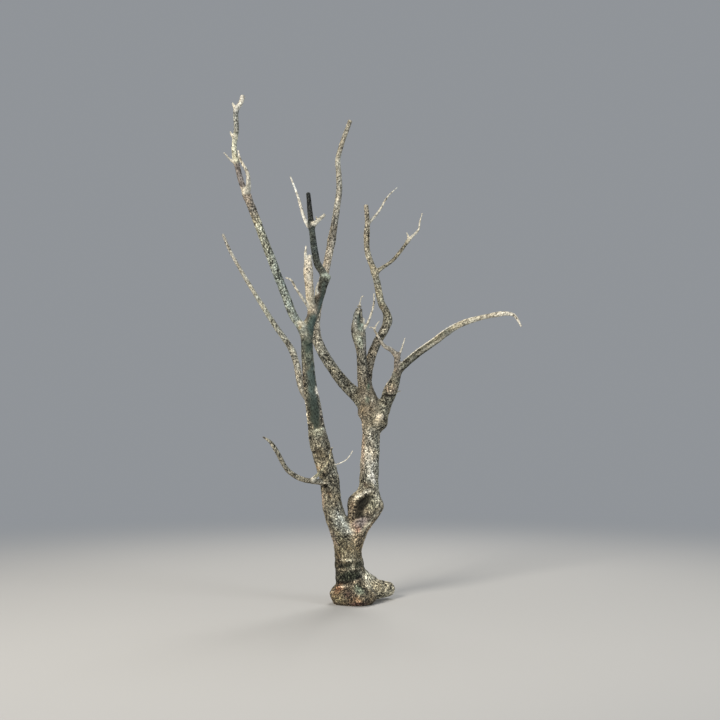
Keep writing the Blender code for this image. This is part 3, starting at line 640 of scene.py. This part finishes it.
mark(
    "right", 0,
    (132, 340, 18, 38, -8, -50, "#2a271c", 0.85),
    (520, 205, 90, 80, -16, 0, None),
    (415, 330, 50, 70, -13, 0, None),
    (528, 294, 60, 60, 0, 0, "#8b8c76", 0.6, 0.4),
    (462, 218, 14, 60, 0, 11, "#8a7463", 0.7),
    # The slanting hollow in the burl, these three rows: painted shade in the hollow over its darker wood,
    # and a near-black painted shadow line along its upper lip.
    (508, 257, 57, 110, -46, 36, "#0d0e0a", 0.96, 0.25, 0.3, 4),
    (408, 254, 33, 66, -20, 62, "#15160f", 0.93, 0.25, 0.3, 3),
    (540, 252, 13, 85, -10, 48, "#0b0a07", 0.9),
    (584, 246, 21, 110, 13, 51, "#e6dcc4", 0.95, 0.2, 0.3, 2),
    (570, 306, 26, 36, 6, -46, "#beb79f", 0.75, 0.4),
    (576, 274, 14, 34, -8, 45, "#3a3a2e"),
    (342, 274, 46, 82, 0, 49, "#a1928a", 0.85, 0.3, 0.6, 2),
    (396, 270, 11, 121, -10, 65, "#1b1813", 0.9, 0.3),
    (324, 216, 10, 35, -8, 0, "#241f18", 0.85),
    (278, 278, 34, 30, -3, 30, "#b58f78", 0.85, 0.3, 0.5),
    (300, 274, 9, 30, -6, 34, "#2b170c", 0.85),
    (390, 318, 12, 100, 8, 8, "#cfc6ad", 0.9, 0.2, 0.3),
    (320, 303, 12, 55, 7, 25, "#cbc1a6", 0.9, 0.2, 0.3),
    (234, 240, 30, 37, 4, 85, "#d8d0bb", 0.9, 0.2, 0.3),
    (246, 290, 10, 34, 4, 47, "#c0b79c", 0.85),
    # A dark green-grey band on the right side: painted shade.
    (270, 324, 18, 55, -3, -20, "#32362c", 0.85),
    (654, 284, 12, 38, -8, -80, "#4a4234", 0.85),
    (684, 252, 24, 45, -8, -42, "#4a3d30", 0.85, 0.3),
    (726, 298, 22, 32, 3, -43, "#e0dbce", 0.9, 0.2, 0.4),
    (774, 290, 24, 60, 0, -13, "#ddd7c8", 0.9, 0.3, 0.3),
)
clothe(
    "trunk_burl", ["trunk"], "bark", weathered_bark,
    skin("right", -0.06, 0.74, 208, 0.0042, kin=("left",), ease=0.016, buried=0.35),
)
mark(
    "right", 0,
    (1008, 214, 22, 187, 0, -5, "#ab937f", 0.7, 0.4),
    (942, 262, 36, 113, 0, -10, "#c6c0b0", 0.7, 0.4, 0.2),
    (1140, 264, 30, 55, 0, -14, "#bcb5a2", 0.65, 0.4),
    (1000, 325, 30, 220, 0, -8, "#6f7366", 0.6, 0.5),
    (1332, 222, 9, 39, -8, 23, "#17130e", 0.92),
    (1374, 270, 13, 22, -12, 6, "#17130e", 0.92),
    # Two dark bands on the left, just under where the back bough leaves: painted shadow of that bough.
    (1446, 234, 11, 51, -8, -66, "#1a1711", 0.9),
    (1470, 212, 8, 35, -6, -70, "#1a1713", 0.85),
    (1488, 268, 16, 36, -3, 10, "#6c7d6e", 0.8, 0.2, 0.4),
    (1488, 302, 10, 39, 7, 32, "#d2c8b0", 0.9),
    (1452, 316, 8, 37, -9, 36, "#15110c", 0.92),
    (1614, 316, 18, 40, -4, 31, "#40604d", 0.85, 0.2, 0.5),
)
clothe(
    "right_stem_bark", ["right_stem"], "bark", weathered_bark,
    skin("right", 0.74, 1.56, 168, base="seam"),
)
mark(
    "right", 0,
    (2064, 256, 42, 70, 0, -4, "#bcc0ab", 0.85, 0.3, 0.4, 1.5),
    (2082, 230, 12, 60, 2, 4, "#a9a695"),
    (1992, 312, 14, 60, 0, -5, "#93918f", 0.8, 0.2, 0.4),
    (2070, 292, 11, 14, -6, -76, "#211f1a", 0.9),
    (2172, 280, 27, 34, 0, -70, "#8f9c8f", 0.85, 0.3, 0.5),
    (2202, 308, 18, 23, 0, -83, "#a3b5a7", 0.85, 0.2, 0.6),
    (2250, 272, 18, 70, -4, -4, "#535f57", 0.9, 0.3, 0.6, 2),
    (2232, 236, 16, 72, 3, -12, "#a3a59d", 0.8, 0.3, 0.3),
    (2275, 304, 14, 46, -26, -4, "#4b564f", 0.85, 0.2, 0.6, 2),
    (2290, 190, 30, 45, 9, 0, "#4f5b53", 0.5, 0.2, 0.4),
)
clothe(
    "torn_bough_bark", ["torn_bough"], "bark", weathered_bark,
    skin("right", 1.56, 2.35, 112, base="seam", top="broken"),
)

# ======================================== left stem
# The left leader further up: dead wood whose bark has peeled off the face, down to smooth, dark
# under-bark, painted darker still with the shade that falls on the front. Each piece runs on from
# the one below it, with the ends hidden under a seam.

mark(
    "left", COLUMN,
    (1185, 270, 26, 80, 0, 85, "#8b8d7c", 0.6, 0.4),
    # The dark green-grey rows on the front are the peeled face: smooth under-bark, partly its own colour and
    # partly painted shade on the stem's front.
    (1380, 274, 64, 155, -6, 2, "#2f3a34", 0.93, 0.3, 0.8, 5),
    (1359, 214, 9, 123, -11, 1, "#14150f", 0.93),
    (1650, 292, 46, 165, -5, 4, "#48544e", 0.92, 0.3, 0.8, 4),
    (1985, 284, 56, 80, -5, 0, "#37463f", 0.94, 0.3, 0.8, 4),
    (1860, 284, 50, 56, 3, -4, "#677064", 0.8, 0.4, 0.4),
    (1707, 218, 18, 187, 3, 5, "#8c8070", 0.75, 0.5),
    (1365, 196, 10, 147, 6, 0, "#b9b2a0", 0.9, 0.5),
    (1353, 334, 18, 132, 4, 2, "#8b847a", 0.75, 0.5),
    (1563, 330, 20, 51, 5, -5, "#dad4c4", 0.95, 0.2, 0.7, 2),
    (1227, 270, 10, 93, 5, 86, "#b9bba6", 0.9, 0.4, 0.3),
    (2067, 270, 6, 50, 4, 82, "#a7a48f", 0.85, 0.3),
    (2140, 306, 40, 110, -3, 0, "#45534c", 0.88, 0.3, 0.8, 3),
)
clothe(
    "left_stem_bark", ["left_stem"], "bark", weathered_bark,
    skin("left", TRUNK_END, COLUMN + 2.04, 132, base="seam"),
)
centre = COLUMN + 2.04
mark(
    "left", COLUMN,
    (2400, 304, 26, 200, 0, -6, "#505a52", 0.9, 0.3, 0.85, 3),
    (2439, 244, 20, 90, 0, -15, "#a08f7c", 0.8, 0.4, 0.2),
    (2271, 206, 20, 110, 0, -3, "#8f8271", 0.8, 0.4, 0.5),
    (2648, 300, 30, 40, 8, -75, "#a0a99b", 0.9, 0.2, 0.6, 1.5),
    (2650, 345, 26, 24, 16, 0, "#a0a99b", 0.85, 0.2, 0.6),
    (2150, 200, 30, 30, 0, 67, "#d8cdb2", 0.9, 0.3, 0.6),
    (2090, 216, 20, 28, 0, -37, "#93805c", 0.8, 0.3, 0.5),
)
clothe(
    "centre_bough_bark", ["centre_bough"], "bark", weathered_bark,
    skin("left", centre, centre + 0.60, 76, base="seam"),
)
# The darker bark at the top of the tree, a little smoother than the rest.
scorched_bark = dry_surface("scorched_bark", 0.9, 0.85, 0.0012)
clothe(
    "centre_leader_bark", ["centre_leader"], "dark_bark", scorched_bark,
    skin("left", centre + 0.60, centre + 1.59, 48, base="seam", top="broken"),
)

# ======================================== left bough
# A long, straight, pale bough and its crooked top, weathered nearly to bare wood. It grows out of
# the left stem where the centre bough begins.

grow(
    "left_bough", "left", COLUMN + 2.04,
    (0.078, 0.068, (0.14, 34, 212), (0.08, 41, 212), (0.17, 30, 226), (0.69, 28, 225), (0.29, 28, 224)),
    (0.048, 0.040, (0.09, 28, 216), (0.14, 17, 214), (0.16, 11, 188), (0.17, 10, 58), (0.20, 16, 94),
     (0.07, 34, 31), (0.07, 21, 52)),
    swellings=((1.36, 0.012, 0.05), (1.66, 0.012, 0.05), (2.12, 0.006, 0.03)),
    looks=(
        (0.00, "#8d8a7a", 0.7), (0.16, "#8e9489", 0.6), (0.60, "#8f9589", 0.7), (0.80, "#a3a492", 0.8),
        (1.08, "#989784", 0.9), (1.22, "#857c6d", 0.9), (1.36, "#8a8074", 0.8), (1.40, "#c9c2ad", 0.4),
        (1.44, "#77706a", 0.5), (1.62, "#77706a", 0.5), (1.66, "#b9b8a2", 0.4), (1.88, "#b9b8a4", 0.4),
        (1.92, "#85857c", 0.4), (2.06, "#8f8f85", 0.4), (2.12, "#c6bead", 0.3), (2.27, "#cbc4b4", 0.3),
    ),
)
mark(
    "left_bough", 0,
    (144, 298, 26, 36, 3, -46, "#ded3b8", 0.92, 0.2, 0.6, 1.5),
    (120, 260, 16, 16, 0, -44, "#93805c", 0.85, 0.2, 0.5),
)
clothe(
    "left_bough_bark", ["left_bough"], "bark", weathered_bark,
    skin("left_bough", 0.0, 1.37, 64, kin=("left",), ease=0.012),
)
clothe(
    "left_bough_top_bark", ["left_bough_top"], "bark", weathered_bark,
    skin("left_bough", 1.37, 2.27, 44, base="seam", top="broken"),
)

# ======================================== slim left limbs
# A long, slim, low bough and a hooked one, both dry wood under thin bark. They grow out of the
# left stem and are broken off at the end.

grow(
    "low", "left", COLUMN + 1.49,
    (0.066, 0.026, (0.11, 53, 153), (0.30, 30, 119), (0.15, 33, 124), (0.28, 42, 140), (0.33, 43, 135),
     (0.45, 42, 134), (0.28, 40, 133), (0.19, 34, 132)),
    swellings=((0.54, 0.010, 0.04),),
    looks=((0.0, "#968f80", 0.7), (1.0, "#979686", 0.5), (2.0, "#a8a396", 0.4)),
)
clothe(
    "low_bough_bark", ["low_bough"], "bark", weathered_bark,
    skin("low", 0.0, 2.09, 36, top="broken", kin=("left",), ease=0.010),
)
grow(
    "hook", "left", COLUMN + 0.73,
    (0.050, 0.036, (0.18, 86, 217), (0.12, 79, 219), (0.09, 67, 216), (0.10, 55, 220), (0.20, 36, 223),
     (0.10, 41, 221), (0.08, 57, 208)),
    swellings=((0.87, -0.022, 0.08),),
    looks=((0.0, "#8c8677", 0.7), (0.4, "#918b79", 0.6)),
)
mark("hook", 0, (90, 262, 9, 36, 3, -4, "#c8c0aa"))
clothe(
    "hook_bough_bark", ["hook_bough"], "bark", weathered_bark,
    skin("hook", 0.0, 0.87, 32, top="broken", kin=("left",), ease=0.007),
)

# ======================================== pale snag
# A snapped-off bough stripped to pale, bare wood, with a splintered spire at its end. It grows
# out of the centre bough.

grow(
    "pale_snag", "left", COLUMN + 2.26,
    (0.080, 0.070, (0.09, 31, 245), (0.14, 28, 263), (0.24, 27, 267), (0.08, 27, 300)),
    swellings=((0.40, 0.012, 0.06), (0.55, -0.036, 0.045)),
    looks=((0.0, "#a3947f", 0.6), (0.12, "#b5ab94", 0.4), (0.3, "#c6bba6", 0.3), (0.55, "#d0c7b4", 0.3)),
)
# Wood without its bark, bleached by weather: smoother than bark and a little less matt.
bare_wood = dry_surface("bare_wood", 0.8, 0.75, 0.0010)
clothe(
    "pale_snag_wood", ["pale_snag"], "bare_wood", bare_wood,
    skin("pale_snag", 0.0, 0.55, 68, top="broken", kin=("left",), ease=0.010),
)

# ======================================== back bough
# The bough that leans away behind the right stem and runs up into the tallest spar. It is dead
# wood under dry bark, and grows out of the right stem.

grow(
    "back", "right", 1.44,
    (0.122, 0.094, (0.23, 54, 151), (0.13, 49, 149), (0.22, 41, 147), (0.21, 37, 141), (0.12, 26, 133)),
    (0.094, 0.042, (0.15, 16, 104), (0.19, 17, 66), (0.33, 16, 40), (0.40, 16, 50), (0.27, 15, 58),
     (0.18, 12, 56), (0.18, 10, 104), (0.12, 6, 129), (0.14, 14, 342), (0.27, 23, 331)),
    swellings=((1.90, 0.014, 0.06),),
    looks=((0.0, "#7d7a6b", 0.9), (0.7, "#878374", 0.8), (1.4, "#aaa190", 0.6), (2.6, "#9a9586", 0.5)),
)
clothe(
    "back_bough_bark", ["back_bough"], "bark", weathered_bark,
    skin("back", 0.0, 0.91, 92, kin=("right",), ease=0.014),
)
mark("back", 0, (2070, 262, 8, 117, -10, -1, "#1e1a15", 0.9))
clothe(
    "back_spar_bark", ["back_spar"], "bark", weathered_bark,
    skin("back", 0.91, 3.14, 64, base="seam", top="broken"),
)

# ======================================== crooked bough
# A bough of short, crooked stretches, with a side arm. It is dead wood under dry bark, and grows
# out of the right stem in front of the back bough.

grow(
    "crooked", "right", 1.50,
    (0.098, 0.078, (0.15, 20, 101), (0.17, 21, 74), (0.16, 27, 55), (0.13, 30, 38), (0.13, 34, 33),
     (0.11, 25, 48)),
    (0.074, 0.062, (0.08, 20, 130), (0.09, 30, 154), (0.23, 14, 147), (0.09, 16, 154)),
    (0.058, 0.042, (0.10, 21, 165), (0.11, 17, 161), (0.14, 5, 236), (0.14, 9, 286), (0.16, 11, 247)),
    swellings=((0.84, 0.012, 0.05), (1.34, 0.014, 0.04), (1.70, 0.012, 0.08)),
    looks=((0.0, "#8a8272", 0.9), (0.5, "#857d6c", 0.9), (1.0, "#898572", 0.7), (2.0, "#a29a88", 0.6)),
)
mark(
    "crooked", 0,
    # A pale tan patch on the left, lightened further as painted light over the shadow that the torn bough
    # casts there.
    (470, 232, 60, 160, 0, 3, "#cdbda1", 0.85, 0.4, 0.3, 1.5),
    (714, 266, 36, 50, 0, 21, "#c4b79c", 0.75, 0.4),
    (570, 332, 19, 85, 0, -4, "#50584c", 0.7, 0.4, 0.4),
    (978, 250, 28, 30, 0, -67, "#6f5e4b", 0.6, 0.4),
)
clothe(
    "crooked_bough_bark", ["crooked_bough"], "bark", weathered_bark,
    skin("crooked", 0.0, 0.85, 76, kin=("right", "back"), ease=0.012),
)
clothe(
    "crooked_rise_bark", ["crooked_rise"], "bark", weathered_bark,
    skin("crooked", 0.85, 1.34, 56, base="seam"),
)
mark("crooked", 0, (1680, 320, 9, 93, -12, -4, "#14110d", 0.95, 0.2, 0, 2))
clothe(
    "crooked_top_bark", ["crooked_top"], "bark", weathered_bark,
    skin("crooked", 1.34, 1.99, 44, base="seam", top="broken"),
)
grow(
    "crooked_side", "crooked", 1.32,
    (0.038, 0.030, (0.04, 53, 341), (0.17, 58, 340), (0.12, 48, 326), (0.13, 43, 325)),
    swellings=((0.45, 0.006, 0.02),),
    looks=((0.0, "#8e8875", 0.6),),
)
clothe(
    "crooked_side_bark", ["crooked_side"], "bark", weathered_bark,
    skin("crooked_side", 0.0, 0.46, 32, top="broken", kin=("crooked",), ease=0.006),
)

# ======================================== arching bough
# The heavy right bough and the long arm that arches out of it and droops, broken, at its end. The
# bark wears thin and pale along the arm, a painted highlight runs along the upper edge of both,
# and a short snag of bare wood stands in their fork.

grow(
    "arch", "right", 1.21,
    (0.145, 0.078, (0.155, 32, 0), (0.13, 25, 350), (0.11, 25, 321), (0.10, 36, 308), (0.11, 32, 307)),
    (0.070, 0.066, (0.13, 47, 328), (0.16, 56, 328), (0.15, 60, 327), (0.16, 59, 324)),
    (0.066, 0.016, (0.15, 65, 323), (0.13, 74, 326), (0.24, 80, 332), (0.09, 87, 334), (0.07, 103, 334),
     (0.06, 141, 330), (0.06, 152, 335)),
    swellings=((0.10, 0.075, 0.07), (0.42, 0.028, 0.09), (1.76, 0.014, 0.10)),
    looks=(
        (0.00, "#7f7a6a", 0.9), (0.56, "#777363", 0.8), (0.68, "#545343", 0.7), (0.90, "#5a5849", 0.6),
        (1.20, "#6e6b5a", 0.6), (1.50, "#b5af9c", 0.4), (2.00, "#d3cdbe", 0.3),
    ),
)
mark(
    "arch", 0,
    (240, 300, 60, 120, 0, 0, "#6d6d60", 0.6, 0.5),
    (144, 272, 36, 38, 6, -69, "#e8dec8", 0.95, 0.3, 0.6, 2),
    (84, 270, 24, 30, 0, -38, "#cabfa6", 0.8, 0.4, 0.3),
    (90, 230, 13, 22, -14, -47, "#17130e", 0.93),
    (54, 252, 11, 18, -12, -24, "#1b1711", 0.9),
    (150, 316, 20, 38, 0, -21, "#555346"),
    (366, 266, 17, 70, -22, 76, "#0b0907", 0.98, 0.2, 0, 2),
    (330, 248, 8, 25, -10, -59, "#17130d", 0.92),
    (438, 262, 40, 45, 0, -86, "#94806f", 0.75, 0.4),
    (450, 258, 14, 30, 3, -28, "#ddd3ba", 0.85),
    # A painted highlight along the bough's upper edge.
    (500, 194, 11, 110, 2, 0, "#ddd6c4", 0.9, 0.2, 0.5),
)
clothe(
    "right_bough_bark", ["right_bough"], "bark", weathered_bark,
    skin("arch", 0.0, 0.605, 100, kin=("right", "crooked", "back"), ease=0.014, buried=0.26),
)
mark(
    "arch", 0,
    (1050, 298, 14, 400, 1, 2, "#cdc7b5", 0.6, 0.4, 0.5),
    # A painted highlight along the arm's upper edge.
    (1050, 206, 10, 400, 1, 0, "#f2ecdc", 0.9, 0.2, 0.7, 2),
)
clothe("arch_arm_bark", ["arch_arm"], "bark", weathered_bark, skin("arch", 0.605, 1.205, 60, base="seam"))
clothe(
    "arch_reach_bark", ["arch_reach"], "bark", weathered_bark,
    skin("arch", 1.205, 2.005, 52, base="seam", top="broken"),
)
grow(
    "arch_snag", "arch", 0.60,
    (0.062, 0.050, (0.10, 22, 258), (0.07, 18, 279)),
    looks=((0.0, "#857c6f", 0.8),),
)
clothe(
    "arch_snag_wood", ["arch_snag"], "bare_wood", bare_wood,
    skin("arch_snag", 0.0, 0.17, 56, 0.003, top="broken", kin=("arch",), ease=0.010),
)

# ======================================== twigs
# The few twigs that are left, with their side shoots. They are dry wood under a thin skin, and
# grow out of the boughs.

# The thin skin of dry twigs, with hardly any grain to see.
twig_bark = dry_surface("twig_bark", 0.9, 0.55, 0.0006)
# Name, parent, how far along it, thick end, thin end and stretches of each twig.
TWIGS = (
    ("twig_left_strand", "left_bough", 1.38, 0.052, 0.012, (0.06, 70, 294), (0.10, 55, 278),
     (0.06, 33, 262), (0.14, 29, 206), (0.07, 15, 150)),
    ("twig_left_spur", "left_bough", 1.64, 0.026, 0.008, (0.05, 70, 205), (0.09, 52, 216)),
    ("twig_left_bud", "left_bough", 1.86, 0.030, 0.010, (0.035, 58, 205), (0.032, 31, 217)),
    ("twig_left_nub", "left_bough", 2.12, 0.028, 0.014, (0.038, 34, 208), (0.029, 37, 215)),
    ("twig_snag_whip", "pale_snag", 0.02, 0.036, 0.014, (0.17, 52, 234), (0.12, 45, 226),
     (0.09, 40, 224), (0.05, 69, 205)),
    ("twig_centre_spur", "left", COLUMN + 2.42, 0.040, 0.009, (0.08, 16, 215), (0.07, 13, 340)),
    ("twig_centre_stub", "left", COLUMN + 3.27, 0.040, 0.030, (0.06, 63, 326), (0.115, 57, 329)),
    ("twig_centre_whip", "left", COLUMN + 3.25, 0.038, 0.014, (0.06, 58, 138), (0.11, 39, 125),
     (0.23, 30, 120), (0.15, 30, 128), (0.10, 32, 129)),
    ("twig_hook_cross", "hook", 0.20, 0.036, 0.010, (0.10, 49, 330), (0.09, 43, 346), (0.08, 29, 345),
     (0.05, 12, 328), (0.05, 19, 342)),
    ("twig_stem_whip", "left", COLUMN + 0.87, 0.014, 0.007, (0.15, 74, 335), (0.06, 62, 336),
     (0.05, 43, 334), (0.05, 34, 332)),
    ("twig_torn_hook", "right", 2.35, 0.016, 0.009, (0.08, 13, 320), (0.03, 24, 331), (0.02, 80, 331)),
    ("twig_torn_side", "right", 2.12, 0.030, 0.012, (0.11, 50, 327), (0.12, 36, 306), (0.11, 31, 296),
     (0.09, 26, 271)),
    ("spire_torn", "right", 2.14, 0.060, 0.012, (0.08, 36, 333), (0.05, 13, 333)),
    ("spire_pale", "pale_snag", 0.46, 0.040, 0.014, (0.08, 27, 232), (0.09, 8, 290)),
    ("twig_crooked_fork", "crooked", 1.81, 0.030, 0.009, (0.08, 50, 35), (0.12, 43, 37), (0.18, 36, 41),
     (0.16, 48, 35)),
    ("twig_side_end", "crooked_side", 0.46, 0.030, 0.008, (0.05, 50, 327), (0.10, 47, 334),
     (0.065, 19, 293), (0.09, 20, 320)),
    ("twig_arch_fork", "arch_snag", 0.15, 0.054, 0.009, (0.09, 50, 216), (0.08, 66, 214),
     (0.17, 42, 222), (0.04, 44, 232), (0.04, 80, 209)),
    ("twig_arch_shoot", "arch_snag", 0.14, 0.024, 0.008, (0.07, 29, 10), (0.08, 21, 31), (0.05, 24, 47)),
    ("twig_arch_spur", "arch", 0.37, 0.020, 0.008, (0.11, 76, 0)),
)
# How far along its twig, thick end, thin end and stretches of each side shoot.
SIDE_SHOOTS = {
    "twig_centre_stub": (0.075, 0.020, 0.008, (0.05, 38, 250)),
    "twig_side_end": (0.01, 0.026, 0.008, (0.035, 13, 221), (0.04, 28, 217)),
    "twig_arch_fork": (0.345, 0.018, 0.008, (0.045, 36, 278), (0.06, 35, 343)),
}
PALE_TWIG = ((0.0, "#c8c2b1", 0.3),)
TWIG_LOOKS = {
    "spire_torn": ((0.0, "#b4bdae", 0.4), (0.06, "#eceade", 0.2)),
    "twig_arch_fork": ((0.0, "#8d8475", 0.6), (0.16, "#a59d8e", 0.4), (0.45, "#c8c2b1", 0.3)),
    "twig_hook_cross": (
        (0.0, "#c4bfae", 0.5), (0.03, "#cfcabb", 0.4), (0.08, "#8f8a72", 0.9), (0.30, "#a39c84", 0.8),
    ),
    "twig_stem_whip": ((0.0, "#e2ddce", 0.2),),
    "twig_centre_whip": ((0.0, "#e4dfd0", 0.2),),
}
for name, parent, at, thick, thin, *course in TWIGS:
    grow(name, parent, at, (thick, thin, *course), looks=TWIG_LOOKS.get(name, PALE_TWIG))
    columns = 20 if thick > 0.03 else 14
    skins = [
        skin(name, 0.0, LIMBS[name].length, columns, top="broken", kin=(parent,), ease=0.0035 + 0.06 * thick)
    ]
    if name in SIDE_SHOOTS:
        at, thick, thin, *course = SIDE_SHOOTS[name]
        shoot = name + "_shoot"
        grow(shoot, name, at, (thick, thin, *course), looks=PALE_TWIG)
        skins.append(skin(shoot, 0.0, LIMBS[shoot].length, 12, top="broken", kin=(name,), ease=0.003))
    slot, finish = ("bark", weathered_bark) if name == "spire_torn" else ("twig_bark", twig_bark)
    if name == "spire_pale":
        slot, finish = "bare_wood", bare_wood
    clothe(name + "_bark", [name], slot, finish, *skins)

# ======================================== the studio
# A pale floor, a large soft lamp from the upper left, a weaker one from the right and one from
# behind for the edges.

STUDIO_GREY = linear("#a0a4a9")
HAZE = 0.8  # the strength of the grey that the paper fades into
PAPER_RADIUS, PAPER_SIDES = 13, 96
CAMERA_AT, CAMERA_TILT = (0.0728, -11.0, 1.65), 2.714
studio_paper = bpy.data.materials.new("studio_paper")
studio_paper.use_nodes = True
tree = studio_paper.node_tree
tree.nodes.clear()
place = add_node(tree, "ShaderNodeTexCoord")
middle = add_node(tree, "ShaderNodeVectorMath", {"operation": "LENGTH"}, _0=place.outputs["Object"])
fade = add_node(
    tree, "ShaderNodeMapRange", {"interpolation_type": "SMOOTHERSTEP"}, Value=middle.outputs["Value"],
    From_Min=1.5, From_Max=11.0,
)
paper = add_node(tree, "ShaderNodeBsdfDiffuse", Color=(*linear("#b4b2ae"), 1))
haze = add_node(tree, "ShaderNodeEmission", Color=(*STUDIO_GREY, 1), Strength=HAZE)
blend = add_node(
    tree, "ShaderNodeMixShader", _0=fade.outputs["Result"], _1=paper.outputs["BSDF"],
    _2=haze.outputs["Emission"],
)
add_node(tree, "ShaderNodeOutputMaterial", Surface=blend.outputs["Shader"])
angle = np.linspace(0, 2 * np.pi, PAPER_SIDES + 1)[:-1]
rim = np.stack([PAPER_RADIUS * np.cos(angle), PAPER_RADIUS * np.sin(angle), 0 * angle], axis=1)
floor = bpy.data.objects.new("floor", bpy.data.meshes.new("floor"))
floor.data.from_pydata(rim.tolist(), [], [list(range(PAPER_SIDES))])
floor.data.materials.append(studio_paper)
bpy.context.scene.collection.objects.link(floor)

world = bpy.data.worlds.new("studio")
bpy.context.scene.world = world
world.use_nodes = True
backdrop = world.node_tree.nodes["Background"]
backdrop.inputs["Color"].default_value = (*STUDIO_GREY, 1)
backdrop.inputs["Strength"].default_value = HAZE

for name, place, aim, width, power, colour in (
    ("key", (-7.0, -11.0, 8.0), (0, 0, 2.0), 4.5, 2300, "#fffaf2"),
    ("fill", (9.0, -6.0, 3.5), (0, 0, 2.0), 5.0, 520, "#eef2f6"),
    ("rim", (1.5, 7.0, 9.0), (0, 0, 2.5), 4.0, 600, "#ffffff"),
):
    lamp = bpy.data.lights.new(name, "AREA")
    lamp.size = width
    lamp.energy = power
    lamp.color = linear(colour)
    lit = bpy.data.objects.new(name, lamp)
    lit.location = place
    forward = unit(np.array(aim, dtype=float) - np.array(place))
    lit.rotation_euler = np.arccos(-forward[2]), 0, np.arctan2(forward[1], forward[0]) - np.pi / 2
    bpy.context.scene.collection.objects.link(lit)

camera = bpy.data.objects.new("camera", bpy.data.cameras.new("camera"))
camera.data.lens = 61.1
camera.data.sensor_width = 36
camera.location = CAMERA_AT
camera.rotation_euler = (np.radians(90 + CAMERA_TILT), 0, 0)
bpy.context.scene.collection.objects.link(camera)
bpy.context.scene.camera = camera
bpy.context.scene.view_settings.view_transform = "Standard"
